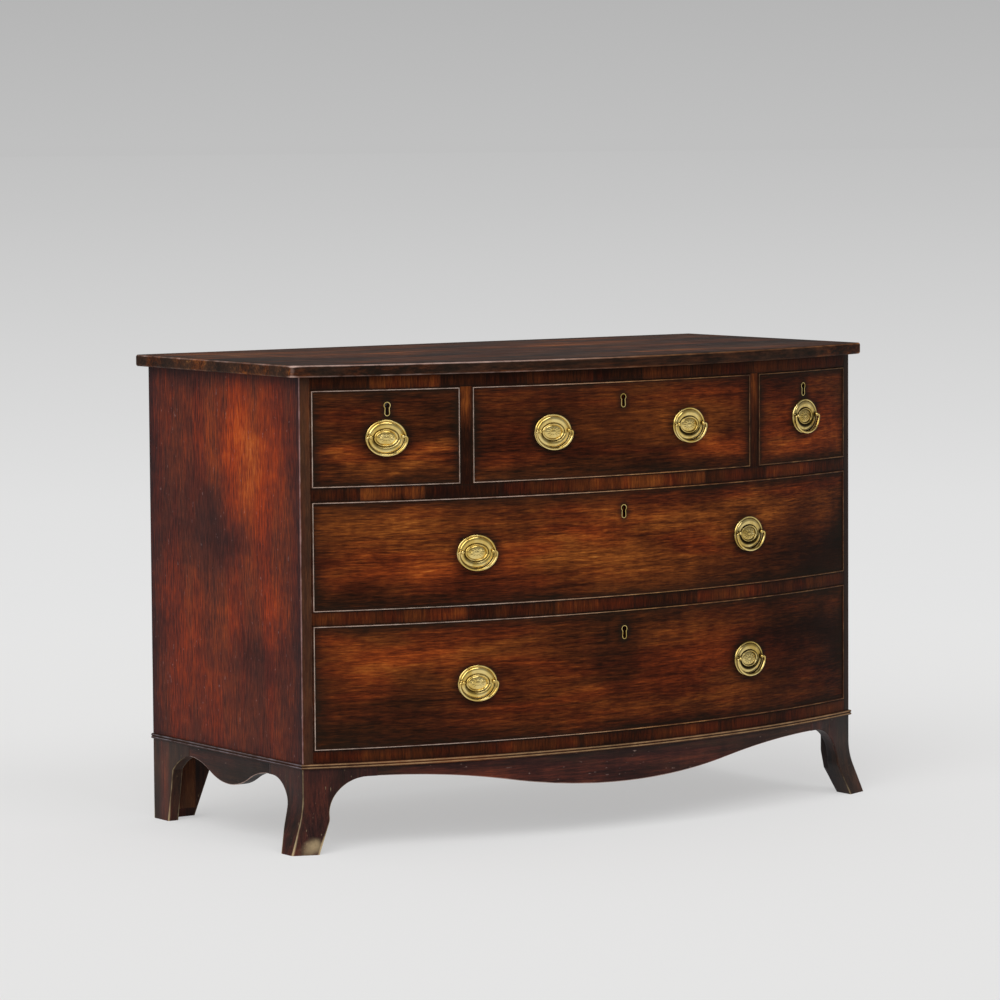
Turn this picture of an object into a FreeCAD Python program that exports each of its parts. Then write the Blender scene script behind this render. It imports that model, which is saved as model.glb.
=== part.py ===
import FreeCAD, Part
import math
import os

"""Bow front chest of drawers: three short drawers over two long ones.

Millimetres, +Z up, +X to the right as one faces the chest, front towards -Y.
The origin is on the floor, under the middle of the chest's footprint.
"""

Vec = FreeCAD.Vector

# ---------------------------------------------------------------- driving sizes
# Carcase
carcase_width = 1150.0
corner_depth = 490.0           # back face to the front corners
bow_rise = 110.0               # how far the middle of the front stands beyond the corners
base_height = 148.5            # floor to the underside of the carcase
row_heights = (207.5, 182.5, 162.0)   # drawer openings, lowest row first
rail_thickness = 21.5
bottom_rail_thickness = 20.5
side_thickness = 17.0
rail_corner_depth = 50.0       # rail's depth behind the front corner; its rear edge is straight
rear_rail_depth = 60.0
divider_centre = 300.5         # middle of each upright between the short drawers
divider_thickness = 20.5
divider_facing_depth = 30.0    # mahogany facing in front of the pine partition
back_board_thickness = 10.0
back_rebate_width = 9.0
back_board_count = 4
board_joint_gap = 0.5
nose_flats = 6                 # flats that make up a bead's or a reed's round nose
bottom_board_thickness = 12.0
dust_board_thickness = 8.0
dust_board_tongue = 7.0        # how far a dust board enters its grooves
groove_play = 0.1
runner_width = 35.0
centre_runner_width = 64.0
kicker_width = 30.0

# Top
top_thickness = 20.0
top_side_overhang = 21.0
top_front_overhang = 15.0
top_rear_overhang = 5.0
top_edge_radius = 4.0
top_corner_radius = 3.0
top_edge_reach = 1.0           # how near the slab's outline an edge is, to be one that is eased

# Base
moulding_height = 9.0
moulding_stand = 4.0
apron_thickness = 25.0
bracket_thickness = 20.0
front_arch_height = 124.5      # highest point of the front opening beside each foot
front_drop_height = 83.5       # lowest point of the front apron, in the middle
front_arch_peak = 120.0        # from the carcase corner to the top of the arch
front_arch_flat = 15.0
front_arch_radius = 64.5
side_arch_height = 121.0
side_drop_height = 88.0
side_arch_front_peak = 107.0   # from the front corner back to the top of the arch
side_arch_rear_peak = 124.0    # from the back forward to the top of the arch
side_arch_flat = 10.0
side_arch_radius = 50.0
foot_flare_height = 95.0
foot_side_flare_angle = 20.8
foot_front_flare_angle = 14.0
foot_inner_flare_angle = 24.0
foot_inner_side_flare_angle = 21.0
flare_arc_share = 0.48         # part of a flare's height that is curved; the rest is straight
inner_flare_arc_share = 0.15   # the same for the inner edge seen from the front
foot_core_width = 36.0         # the solid heart of the leg, from the chest's corner
foot_core_toe_width = 14.0     # the same at the floor, where its back leans forward
foot_core_lean_height = 75.0
side_ear_lean = 21.0           # how far the side ear's inner face leans out at the floor
side_ear_lean_height = 60.0
foot_reach = 60.0              # room round a foot for the shapes that cut it out
rear_foot_toe_depth = 49.0
rear_foot_neck_depth = 66.0
rear_foot_neck_height = 91.0
rear_foot_shoulder_depth = 90.0
rear_foot_shoulder_height = 109.5
rear_bracket_thickness = 18.0
rear_bracket_toe_width = 71.0
rear_bracket_top_width = 120.0
glue_block_width = 34.0
glue_block_lift = 20.0

# Drawers
front_gap = 0.8                # round each drawer front
runner_gap = 0.3               # under each drawer side
front_thickness = 22.0
drawer_side_thickness = 10.0
drawer_back_thickness = 9.0
drawer_bottom_thickness = 6.0
drawer_bottom_rise = 10.0
drawer_groove_depth = 5.0
drawer_side_drop = 8.0         # side's top edge below the front's
drawer_back_drop = 6.0         # back's top edge below the sides'
drawer_rear_gap = 15.0
tail_length = 14.0
tail_pitch = 40.0
tail_root_width = 17.0
tail_angle = 12.0
tail_overrun = 8.0
bead_thickness = 3.0
bead_depth = 8.0
bead_stand = 1.8
stop_width = 30.0
stop_depth = 25.0
stop_height = 5.0
stop_gap = 0.4
stop_side_gap = 20.0           # between a stop and the drawer's side

# Handles, in the handle's own frame
plate_height = 61.0
plate_stretch = 1.18           # the oval's width over its height
plate_rim_width = 3.4
plate_rim_stand = 2.6
plate_field_stand = 1.3
plate_ring_radius = 19.6
plate_ring_width = 4.0
plate_ring_stand = 3.2
plate_hollow_depth = 0.5
boss_height = 25.0
boss_stretch = 1.45
boss_stand = 5.6
boss_wall = 1.2
post_spacing = 55.4
post_lift = 2.0                # posts above the plate's middle
post_shank_radius = 2.2
post_collar_radius = 3.4
post_collar_stand = 3.4
post_neck_radius = 2.2
post_ball_radius = 3.2
pivot_stand = 7.5              # bail's axis in front of the drawer
pin_radius = 1.4
pin_play = 0.05
shank_play = 0.1
bail_wire_radius = 1.9
bail_bend_radius = 3.2
bail_shoulder = 0.6            # bare pin between the post's ball and the bend
bail_drop = 30.5               # axis to the middle of the wire at the bottom
nut_width = 9.0
nut_thickness = 3.0
nut_pocket_width = 12.0
nut_pocket_depth = 2.5
shank_end = 1.2

# Locks and keyholes, in the keyhole's own frame
escutcheon_wall = 1.5
escutcheon_depth = 5.0
escutcheon_stand = 0.3
escutcheon_play = 0.05
keyhole_eye_radius = 4.6
keyhole_eye_rise = 5.9
keyhole_toe_radius = 3.4
keyhole_toe_drop = 7.1
keyhole_waist = 2.6
lock_width = 50.0
lock_height = 56.0
lock_skin = 9.0                # wood left between the drawer's face and the lock
lock_play = 0.1
bolt_width = 18.0
bolt_thickness = 5.0
bolt_length = 26.0
bolt_set_in = 4.5              # lock's front face to the bolt
bolt_play = 0.2
bolt_sink = 0.4                # bolt's top below the drawer front's top when unlocked
bolt_throw = 8.0
mortise_play = 1.0
mortise_depth = 9.5
key_pin_radius = 1.2
key_socket_depth = 9.0

# Screws that hold the top
screw_radius = 2.2
screw_head_radius = 4.2
screw_head_height = 3.0
screw_sink = 4.0
screw_bite = 13.0
screw_play = 0.1
screw_places = (150.0, 430.0)

# Where the brasses are on each drawer: handle places from the drawer's middle,
# and how far the keyhole's middle is below the top edge of the drawer's front
short_handle_offset = 2.5      # outwards
centre_handle_offset = 141.5
long_handle_offset = 284.0
short_handle_drop = 0.0        # handles below the middle of the drawer front
middle_handle_drop = 1.7
bottom_handle_drop = 2.7
short_key_drop = 32.8
middle_key_drop = 36.7
bottom_key_drop = 38.2

# ---------------------------------------------------------------- worked-out sizes
half_width = carcase_width / 2
inner_half = half_width - side_thickness
total_depth = top_rear_overhang + corner_depth + bow_rise + top_front_overhang
back_y = total_depth / 2 - top_rear_overhang
corner_y = back_y - corner_depth
bow_radius = (half_width ** 2 + bow_rise ** 2) / (2 * bow_rise)
bow_axis_y = corner_y - bow_rise + bow_radius
back_inner_y = back_y - back_board_thickness
rail_rear_y = corner_y + rail_corner_depth
runner_half = inner_half - runner_width

bottom_row = base_height + bottom_rail_thickness
lower_rail = bottom_row + row_heights[0]
middle_row = lower_rail + rail_thickness
upper_rail = middle_row + row_heights[1]
top_row = upper_rail + rail_thickness
top_rail = top_row + row_heights[2]
carcase_top = top_rail + rail_thickness
total_height = carcase_top + top_thickness

nodes = {}


# ---------------------------------------------------------------- helpers
def bow_y(x, radius=bow_radius):
    """The y of the bowed face, or of one parallel to it, at a given x."""
    return bow_axis_y - math.sqrt(radius ** 2 - x ** 2)


def box(x0, x1, y0, y1, z0, z1):
    """A box between two corners."""
    return Part.makeBox(x1 - x0, y1 - y0, z1 - z0, Vec(x0, y0, z0))


def arc(a, b, c):
    """An edge: the circular arc from a through b to c."""
    return Part.Arc(a, b, c).toShape()


def polyline(points):
    """Straight edges that join the points in turn."""
    return [Part.makeLine(a, b) for a, b in zip(points, points[1:])]


def prism(edges, direction):
    """The closed outline made by the edges, pushed along a direction."""
    face = Part.Face(Part.Wire(Part.__sortEdges__(edges)))
    return face.extrude(direction)


def bow_edge(x0, x1, radius, z):
    """The arc of the bow between two x places, at a height."""
    ends = [Vec(x, bow_y(x, radius), z) for x in (x0, (x0 + x1) / 2, x1)]
    return arc(*ends)


def bow_board(x0, x1, rear_y, z0, z1, radius=bow_radius):
    """A level board: bowed front edge, straight ends and a straight rear edge."""
    rear = [
        Vec(x1, bow_y(x1, radius), z0),
        Vec(x1, rear_y, z0),
        Vec(x0, rear_y, z0),
        Vec(x0, bow_y(x0, radius), z0),
    ]
    return prism([bow_edge(x0, x1, radius, z0)] + polyline(rear), Vec(0, 0, z1 - z0))


def bow_panel(x0, x1, outer, inner, z0, z1):
    """An upright panel bent to the bow, between two radii."""
    edges = [
        bow_edge(x0, x1, outer, z0),
        Part.makeLine(Vec(x1, bow_y(x1, outer), z0), Vec(x1, bow_y(x1, inner), z0)),
        bow_edge(x0, x1, inner, z0),
        Part.makeLine(Vec(x0, bow_y(x0, inner), z0), Vec(x0, bow_y(x0, outer), z0)),
    ]
    return prism(edges, Vec(0, 0, z1 - z0))


def nose_points(point_at, flat, stand, low, high):
    """A half-round nose in small flats, from low to high. It stands flat out at its edges
    and stand out in its middle; point_at turns (how far out, place across) into a point."""
    points = []
    for i in range(nose_flats + 1):
        turn = math.pi * i / nose_flats
        across = (low + high) / 2 - (high - low) / 2 * math.cos(turn)
        points.append(point_at(flat + (stand - flat) * math.sin(turn), across))
    return points


def bow_turn(edges, x0, x1):
    """An outline in the YZ plane, swept round the bow's axis from one x to another."""
    face = Part.Face(Part.Wire(Part.__sortEdges__(edges)))
    start = math.degrees(math.asin(x0 / bow_radius))
    end = math.degrees(math.asin(x1 / bow_radius))
    axis = Vec(0, bow_axis_y, 0)
    face.rotate(axis, Vec(0, 0, 1), start)
    return face.revolve(axis, Vec(0, 0, 1), end - start)


def on_bow(shape, x, z):
    """Moves a shape from its own frame to the bow: its origin on the face at x and z,
    its +Y into the wood and its +X along the face."""
    turn = FreeCAD.Rotation(Vec(0, 0, 1), math.degrees(math.asin(x / bow_radius)))
    placed = shape.copy()
    placed.Placement = FreeCAD.Placement(Vec(x, bow_y(x), z), turn).multiply(placed.Placement)
    return placed


def rod(radius, start, end):
    """A round rod between two points."""
    along = end - start
    return Part.makeCylinder(radius, along.Length, start, along)


def mirrored(shape):
    """The same shape on the other side of the chest."""
    return shape.mirror(Vec(0, 0, 0), Vec(1, 0, 0))


def fused(shapes):
    """One solid from several that touch or overlap."""
    whole = shapes[0]
    for shape in shapes[1:]:
        whole = whole.fuse(shape)
    return whole.removeSplitter()


def cut_all(shape, tools):
    """The shape with each tool taken out of it."""
    for tool in tools:
        shape = shape.cut(tool)
    return shape


def solids_of(shape):
    """The solids of a shape, as a list."""
    return list(shape.Solids)


def add(name, shapes):
    """Keeps the solids of a node."""
    solids = []
    for shape in shapes:
        solids += solids_of(shape)
    nodes[name] = nodes.get(name, []) + solids


# ---------------------------------------------------------------- top
def make_top():
    """The top slab: bowed front, overhanging the front and the ends, with its edge eased."""
    end_x = half_width + top_side_overhang
    radius = bow_radius + top_front_overhang
    slab = bow_board(-end_x, end_x, back_y + top_rear_overhang, carcase_top, total_height, radius)
    corners = [
        edge for edge in slab.Edges
        if abs(edge.Vertexes[0].Point.x) > end_x - top_edge_reach
        and abs(edge.Vertexes[0].Point.x - edge.Vertexes[-1].Point.x) < top_edge_reach
        and abs(edge.Vertexes[0].Point.y - edge.Vertexes[-1].Point.y) < top_edge_reach
        and edge.Vertexes[0].Point.y < corner_y + top_edge_reach
    ]
    slab = slab.makeFillet(top_corner_radius, corners)
    rear_y = back_y + top_rear_overhang
    eased = [
        edge for edge in slab.Edges
        if abs(edge.BoundBox.ZMax - edge.BoundBox.ZMin) < 0.01
        and edge.BoundBox.YMin < rear_y - top_edge_reach
    ]
    slab = slab.makeFillet(top_edge_radius, eased)
    add("top_board", [slab.cut(fused(screw_holes()))])


# ---------------------------------------------------------------- carcase
def make_sides():
    """The two end boards: the front edge follows the bow and the rear one is rebated."""
    right = bow_board(inner_half, half_width, back_y, base_height, carcase_top)
    rebate = box(
        inner_half, inner_half + back_rebate_width, back_inner_y, back_y, base_height, carcase_top
    )
    right = right.cut(rebate)
    add("side_right", [right])
    add("side_left", [mirrored(right)])


def make_back():
    """Level boards side by side, in the rebates of the ends."""
    reach = inner_half + back_rebate_width
    pitch = (carcase_top - base_height) / back_board_count
    boards = []
    for i in range(back_board_count):
        low = base_height + i * pitch
        high = low + pitch
        if i < back_board_count - 1:
            high -= board_joint_gap
        boards.append(box(-reach, reach, back_inner_y, back_y, low, high))
    add("back_boards", boards)


def lock_mortise(x, z):
    """The hole in the rail above a drawer that its lock's bolt enters."""
    half = bolt_width / 2 + mortise_play
    near = lock_skin + bolt_set_in - mortise_play
    far = lock_skin + bolt_set_in + bolt_thickness + mortise_play
    return on_bow(box(-half, half, near, far, 0, mortise_depth), x, z)


def dust_board(x0, x1, z, tongue_left, tongue_right):
    """One thin board between two runners, tongued into them and into the rail."""
    middle = z + rail_thickness / 2
    return box(
        x0 - tongue_left, x1 + tongue_right,
        rail_rear_y - dust_board_tongue, back_inner_y,
        middle - dust_board_thickness / 2, middle + dust_board_thickness / 2,
    )


def groove_for(board):
    """The space that a dust board's edges take, with a little play."""
    bounds = board.BoundBox
    return box(
        bounds.XMin - groove_play, bounds.XMax + groove_play,
        bounds.YMin - groove_play, bounds.YMax,
        bounds.ZMin - groove_play, bounds.ZMax + groove_play,
    )


def make_rails_and_dust_boards():
    """The rails between the rows, the runners behind them and the boards between those."""
    centre_half = centre_runner_width / 2
    inner_edge = divider_centre - centre_half
    outer_edge = divider_centre + centre_half
    tongue = dust_board_tongue
    upper_boards = [
        dust_board(-runner_half, -outer_edge, upper_rail, tongue, tongue),
        dust_board(-inner_edge, inner_edge, upper_rail, tongue, tongue),
        dust_board(outer_edge, runner_half, upper_rail, tongue, tongue),
    ]
    lower_boards = [dust_board(-runner_half, runner_half, lower_rail, tongue, tongue)]
    add("dust_boards", upper_boards + lower_boards)

    runners = []
    for level, boards in ((upper_rail, upper_boards), (lower_rail, lower_boards)):
        grooves = [groove_for(board) for board in boards]
        edges = [(-inner_half, -runner_half), (runner_half, inner_half)]
        if level == upper_rail:
            edges += [(-outer_edge, -inner_edge), (inner_edge, outer_edge)]
        for x0, x1 in edges:
            strip = box(x0, x1, rail_rear_y, back_inner_y, level, level + rail_thickness)
            runners.append(cut_all(strip, grooves))
    kickers = [
        (-inner_half, -inner_half + kicker_width),
        (-divider_centre - centre_half, -divider_centre + centre_half),
        (divider_centre - centre_half, divider_centre + centre_half),
        (inner_half - kicker_width, inner_half),
    ]
    rear_rail_y = back_inner_y - rear_rail_depth
    for x0, x1 in kickers:
        runners.append(box(x0, x1, rail_rear_y, rear_rail_y, top_rail, carcase_top))
    add("drawer_runners", runners)

    upper = bow_board(-inner_half, inner_half, rail_rear_y, upper_rail, top_row)
    upper = cut_all(upper, [groove_for(board) for board in upper_boards])
    add("rail_upper", [upper.cut(lock_mortise(0, upper_rail))])
    lower = bow_board(-inner_half, inner_half, rail_rear_y, lower_rail, middle_row)
    lower = cut_all(lower, [groove_for(board) for board in lower_boards])
    add("rail_lower", [lower.cut(lock_mortise(0, lower_rail))])
    add("rail_bottom", [
        bow_board(-inner_half, inner_half, rail_rear_y, base_height, bottom_row)
    ])


def make_top_rails():
    """The bowed rail under the front of the top and the straight one at the back."""
    front = bow_board(-inner_half, inner_half, rail_rear_y, top_rail, carcase_top)
    mortises = [lock_mortise(x, top_rail) for x in (-short_middle, 0, short_middle)]
    front = cut_all(front, mortises)
    rear = box(
        -inner_half, inner_half, back_inner_y - rear_rail_depth, back_inner_y,
        top_rail, carcase_top,
    )
    holes = fused(screw_holes())
    add("top_rails", [front.cut(holes), rear.cut(holes)])


def make_bottom():
    """The carcase's bottom board, level with the top of the bottom rail."""
    add("bottom_board", [
        box(
            -inner_half, inner_half, rail_rear_y, back_inner_y,
            bottom_row - bottom_board_thickness, bottom_row,
        )
    ])


def make_dividers():
    """The uprights between the short drawers: a facing at the front, a partition behind."""
    facings = []
    partitions = []
    half = divider_thickness / 2
    for centre in (-divider_centre, divider_centre):
        x0 = centre - half
        x1 = centre + half
        joint_y = bow_y(abs(centre) + half) + divider_facing_depth
        facings.append(bow_board(x0, x1, joint_y, top_row, top_rail))
        partitions.append(box(x0, x1, joint_y, back_inner_y, top_row, top_rail))
    add("dividers", facings)
    add("partitions", partitions)


def drawer_stop(x, z):
    """A small block on the rail that the drawer front's lower edge meets when it is shut."""
    near = front_thickness + stop_gap
    half = stop_width / 2
    return on_bow(box(-half, half, near, near + stop_depth, 0, stop_height), x, z)


def make_stops():
    """Two stops behind each drawer front, one near each side of the drawer."""
    inset = front_gap + drawer_side_thickness + stop_side_gap + stop_width / 2
    openings = [
        (-inner_half, -short_inner, top_row),
        (-centre_half_width, centre_half_width, top_row),
        (short_inner, inner_half, top_row),
        (-inner_half, inner_half, middle_row),
        (-inner_half, inner_half, bottom_row),
    ]
    stops = []
    for x0, x1, z in openings:
        stops += [drawer_stop(x0 + inset, z), drawer_stop(x1 - inset, z)]
    add("drawer_stops", stops)


# ---------------------------------------------------------------- screws
def screw_points():
    """Where the top's screws stand on the underside of the top rails."""
    front_y = rail_rear_y - screw_set_in
    rear_y = back_inner_y - rear_rail_depth / 2
    places = [x * side for x in screw_places for side in (-1, 1)]
    return [Vec(x, y, top_rail) for y in (front_y, rear_y) for x in places]


def screw_shape(point, play):
    """A screw from below, its head sunk in the rail and its end in the top."""
    head_low = screw_sink
    head_high = head_low + screw_head_height
    tip = rail_thickness + screw_bite
    low = 0 if play else head_low
    up = Vec(0, 0, 1)
    head = rod(screw_head_radius + play, point + up * low, point + up * head_high)
    shank = rod(screw_radius + play, point + up * head_high, point + up * (tip + play))
    return head.fuse(shank)


def screw_holes():
    """The holes for the screws."""
    return [screw_shape(point, screw_play) for point in screw_points()]


def make_screws():
    """The screws that hold the top down on its rails."""
    add("top_screws", [screw_shape(point, 0).removeSplitter() for point in screw_points()])


# ---------------------------------------------------------------- base
def s_curve(distance, low, high, run):
    """Height of a wave that is lowest at 0 and highest at run: two equal tangent arcs."""
    rise = high - low
    radius = ((run / 2) ** 2 + (rise / 2) ** 2) / rise
    if abs(distance) <= run / 2:
        return low + radius - math.sqrt(radius ** 2 - distance ** 2)
    return high - radius + math.sqrt(radius ** 2 - (run - abs(distance)) ** 2)


def wave_edges(point_at, low, high, run):
    """The lower edge of an apron: down from a peak to the drop and up to the other peak."""
    stations = [-run, -0.75 * run, -run / 2, 0, run / 2, 0.75 * run, run]
    points = [point_at(s, s_curve(s, low, high, run)) for s in stations]
    return [arc(*points[0:3]), arc(*points[2:5]), arc(*points[4:7])]


def flare_edges(point_at, start, angle, arc_share=flare_arc_share):
    """A foot's edge: upright at the start height, then an arc, then straight to the floor.
    point_at turns (how far out, height) into a point. Returns the edges and the toe's reach."""
    turn = math.radians(angle)
    arc_drop = arc_share * start
    radius = arc_drop / math.sin(turn)
    arc_out = radius * (1 - math.cos(turn))
    toe_out = arc_out + (start - arc_drop) * math.tan(turn)
    middle_out = radius * (1 - math.cos(turn / 2))
    middle_drop = radius * math.sin(turn / 2)
    knee = point_at(arc_out, start - arc_drop)
    edges = [
        arc(point_at(0, start), point_at(middle_out, start - middle_drop), knee),
        Part.makeLine(knee, point_at(toe_out, 0)),
    ]
    return edges, toe_out


def quarter_point(centre_a, centre_b, radius):
    """The point half way round a quarter arc that goes out and down from its top."""
    reach = radius * math.sqrt(0.5)
    return centre_a + reach, centre_b + reach


def foot_front_view():
    """A front foot as seen from the front: its arch, its inner edge and everything outside."""
    peak_x = half_width - front_arch_peak
    centre_x = peak_x + front_arch_flat
    centre_z = front_arch_height - front_arch_radius
    edge_x = centre_x + front_arch_radius
    y = corner_y - bow_rise - foot_reach
    bend_x, bend_z = quarter_point(centre_x, centre_z, front_arch_radius)
    flare, toe = flare_edges(
        lambda out, z: Vec(edge_x + out, y, z), centre_z, foot_inner_flare_angle,
        inner_flare_arc_share,
    )
    outline = [
        arc(
            Vec(centre_x, y, front_arch_height), Vec(bend_x, y, bend_z),
            Vec(edge_x, y, centre_z),
        )
    ]
    outline += flare
    outline += polyline([
        Vec(edge_x + toe, y, 0),
        Vec(half_width + foot_reach, y, 0),
        Vec(half_width + foot_reach, y, base_height),
        Vec(peak_x, y, base_height),
        Vec(peak_x, y, front_arch_height),
        Vec(centre_x, y, front_arch_height),
    ])
    return prism(outline, Vec(0, corner_depth, 0))


def foot_side_view():
    """A front foot as seen from the side: its arch, its inner edge and everything before."""
    peak_y = corner_y + side_arch_front_peak
    centre_y = peak_y - side_arch_flat
    centre_z = side_arch_height - side_arch_radius
    edge_y = centre_y - side_arch_radius
    x = 0
    reach, bend_z = quarter_point(0, centre_z, side_arch_radius)
    flare, toe = flare_edges(
        lambda out, z: Vec(x, edge_y - out, z), centre_z, foot_inner_side_flare_angle
    )
    outline = [
        arc(
            Vec(x, centre_y, side_arch_height), Vec(x, centre_y - reach, bend_z),
            Vec(x, edge_y, centre_z),
        )
    ]
    outline += flare
    far_y = corner_y - bow_rise - foot_reach
    outline += polyline([
        Vec(x, edge_y - toe, 0),
        Vec(x, far_y, 0),
        Vec(x, far_y, base_height),
        Vec(x, peak_y, base_height),
        Vec(x, peak_y, side_arch_height),
        Vec(x, centre_y, side_arch_height),
    ])
    return prism(outline, Vec(half_width + foot_reach, 0, 0))


def foot_outer_side():
    """Everything within the chest's end face and the foot's sideways flare."""
    y = corner_y - bow_rise - foot_reach
    flare, toe = flare_edges(
        lambda out, z: Vec(half_width + out, y, z), foot_flare_height, foot_side_flare_angle
    )
    outline = flare + polyline([
        Vec(half_width + toe, y, 0),
        Vec(0, y, 0),
        Vec(0, y, base_height),
        Vec(half_width, y, base_height),
        Vec(half_width, y, foot_flare_height),
    ])
    return prism(outline, Vec(0, corner_depth, 0))


def foot_outer_front():
    """Everything within the bowed face and the foot's forward flare."""
    face_y = bow_axis_y - bow_radius
    inner_y = face_y + side_arch_front_peak + bow_rise
    flare, toe = flare_edges(
        lambda out, z: Vec(0, face_y - out, z), foot_flare_height, foot_front_flare_angle
    )
    outline = flare + polyline([
        Vec(0, face_y - toe, 0),
        Vec(0, inner_y, 0),
        Vec(0, inner_y, base_height),
        Vec(0, face_y, base_height),
        Vec(0, face_y, foot_flare_height),
    ])
    start = half_width - front_arch_peak - foot_reach
    return bow_turn(outline, start, half_width + foot_reach)


def make_front_feet():
    """The two splayed front feet, each a solid leg with an ear along the front and the side."""
    front_view = foot_front_view()
    side_view = foot_side_view()
    far_x = half_width + foot_reach
    peak_x = half_width - front_arch_peak
    front_skin = bow_panel(
        peak_x, far_x, bow_radius + foot_reach, bow_radius - apron_thickness, 0, base_height
    )
    near_y = corner_y - bow_rise - foot_reach
    skin_x = half_width - bracket_thickness
    ear_y = corner_y + side_arch_front_peak
    side_skin = prism(polyline([
        Vec(skin_x + side_ear_lean, near_y, 0),
        Vec(far_x, near_y, 0),
        Vec(far_x, near_y, base_height),
        Vec(skin_x, near_y, base_height),
        Vec(skin_x, near_y, side_ear_lean_height),
        Vec(skin_x + side_ear_lean, near_y, 0),
    ]), Vec(0, ear_y - near_y, 0))
    core_x = half_width - foot_core_width
    core_y = corner_y + foot_core_width
    before_lean = prism(polyline([
        Vec(peak_x, near_y, 0),
        Vec(peak_x, corner_y + foot_core_toe_width, 0),
        Vec(peak_x, core_y, foot_core_lean_height),
        Vec(peak_x, core_y, base_height),
        Vec(peak_x, near_y, base_height),
        Vec(peak_x, near_y, 0),
    ]), Vec(far_x - peak_x, 0, 0))
    core = box(core_x, far_x, near_y, core_y, 0, base_height).common(before_lean)
    whole = fused([
        front_view.common(front_skin).common(before_lean),
        side_view.common(side_skin).common(front_view),
        front_view.common(side_view).common(core),
    ])
    right = whole.common(foot_outer_side()).common(foot_outer_front()).removeSplitter()
    add("foot_front_right", [right])
    add("foot_front_left", [mirrored(right)])


def make_rear_feet():
    """The two rear feet: a shaped bracket at the side, a plain one at the back and a block."""
    x0 = half_width - bracket_thickness
    neck = Vec(x0, back_y - rear_foot_neck_depth, rear_foot_neck_height)
    shoulder = Vec(x0, back_y - rear_foot_shoulder_depth, rear_foot_shoulder_height)
    peak = Vec(x0, back_y - side_arch_rear_peak, side_arch_height)
    outline = [arc(neck, shoulder, peak)]
    outline += polyline([
        peak,
        Vec(x0, peak.y, base_height),
        Vec(x0, back_y, base_height),
        Vec(x0, back_y, 0),
        Vec(x0, back_y - rear_foot_toe_depth, 0),
        neck,
    ])
    side_bracket = prism(outline, Vec(bracket_thickness, 0, 0))

    y0 = back_y - rear_bracket_thickness
    rear_outline = polyline([
        Vec(x0, y0, 0),
        Vec(x0, y0, base_height),
        Vec(half_width - rear_bracket_top_width, y0, base_height),
        Vec(half_width - rear_bracket_top_width, y0, side_arch_height),
        Vec(half_width - rear_bracket_toe_width, y0, 0),
        Vec(x0, y0, 0),
    ])
    rear_bracket = prism(rear_outline, Vec(0, rear_bracket_thickness, 0))
    block = box(x0 - glue_block_width, x0, y0 - glue_block_width, y0, glue_block_lift, base_height)
    right = [side_bracket, rear_bracket, block]
    add("foot_rear_right", right)
    add("foot_rear_left", [mirrored(piece) for piece in right])


def make_aprons():
    """The shaped aprons between the feet, at the front and at both sides."""
    run = half_width - front_arch_peak
    y = corner_y - bow_rise - foot_reach
    outline = wave_edges(lambda s, z: Vec(s, y, z), front_drop_height, front_arch_height, run)
    outline += polyline([
        Vec(run, y, front_arch_height),
        Vec(run, y, base_height),
        Vec(-run, y, base_height),
        Vec(-run, y, front_arch_height),
    ])
    shape = prism(outline, Vec(0, corner_depth, 0))
    skin = bow_panel(-run, run, bow_radius, bow_radius - apron_thickness, 0, base_height)
    add("apron_front", [shape.common(skin)])

    front_peak = corner_y + side_arch_front_peak
    rear_peak = back_y - side_arch_rear_peak
    middle = (front_peak + rear_peak) / 2
    side_run = (rear_peak - front_peak) / 2
    x0 = half_width - bracket_thickness
    outline = wave_edges(
        lambda s, z: Vec(x0, middle + s, z), side_drop_height, side_arch_height, side_run
    )
    outline += polyline([
        Vec(x0, rear_peak, side_arch_height),
        Vec(x0, rear_peak, base_height),
        Vec(x0, front_peak, base_height),
        Vec(x0, front_peak, side_arch_height),
    ])
    right = prism(outline, Vec(bracket_thickness, 0, 0))
    add("aprons_side", [right, mirrored(right)])


def reeded_outline(point_at):
    """The base moulding's section: two round reeds, one above the other, on a flat back."""
    reed = moulding_height / 2
    flat = moulding_stand - reed / 2
    low = base_height - moulding_height
    middle = low + reed
    points = [point_at(0, base_height), point_at(0, low)]
    points += nose_points(point_at, flat, moulding_stand, low, middle)
    points += nose_points(point_at, flat, moulding_stand, middle, base_height)[1:]
    return polyline(points + points[:1])


def mitre_wedge(outwards):
    """Half of the space at the front right corner, split where the mouldings are mitred."""
    inner = Vec(half_width, corner_y, 0)
    outer_x = half_width + moulding_stand
    outer = Vec(outer_x, bow_y(outer_x, bow_radius + moulding_stand), 0)
    along = (outer - inner) * 10
    far = inner + along
    if outwards:
        corner = Vec(half_width + foot_reach, back_y, 0)
        points = [inner, far, corner, Vec(half_width, back_y, 0), inner]
    else:
        corner = Vec(half_width, corner_y - bow_rise - foot_reach, 0)
        points = [inner, far, corner + Vec(along.x, 0, 0), corner, inner]
    return prism(polyline(points), Vec(0, 0, base_height))


def make_base_moulding():
    """Three lengths of reeded moulding round the front and the sides, mitred at the corners."""
    face_y = bow_axis_y - bow_radius
    edges = reeded_outline(lambda out, z: Vec(0, face_y - out, z))
    reach = half_width + 2 * moulding_stand
    front = bow_turn(edges, -reach, reach)
    side_edges = reeded_outline(
        lambda out, z: Vec(half_width + out, back_y, z)
    )
    side = prism(side_edges, Vec(0, -corner_depth - foot_reach / 2, 0))
    side = side.common(mitre_wedge(True))
    within = box(
        -half_width, half_width, corner_y - bow_rise - foot_reach, back_y, 0, base_height
    )
    corner = mitre_wedge(False)
    keep = fused([within, corner, mirrored(corner)])
    front = front.common(keep)
    add("base_moulding", [front.removeSplitter(), side, mirrored(side)])


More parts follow.
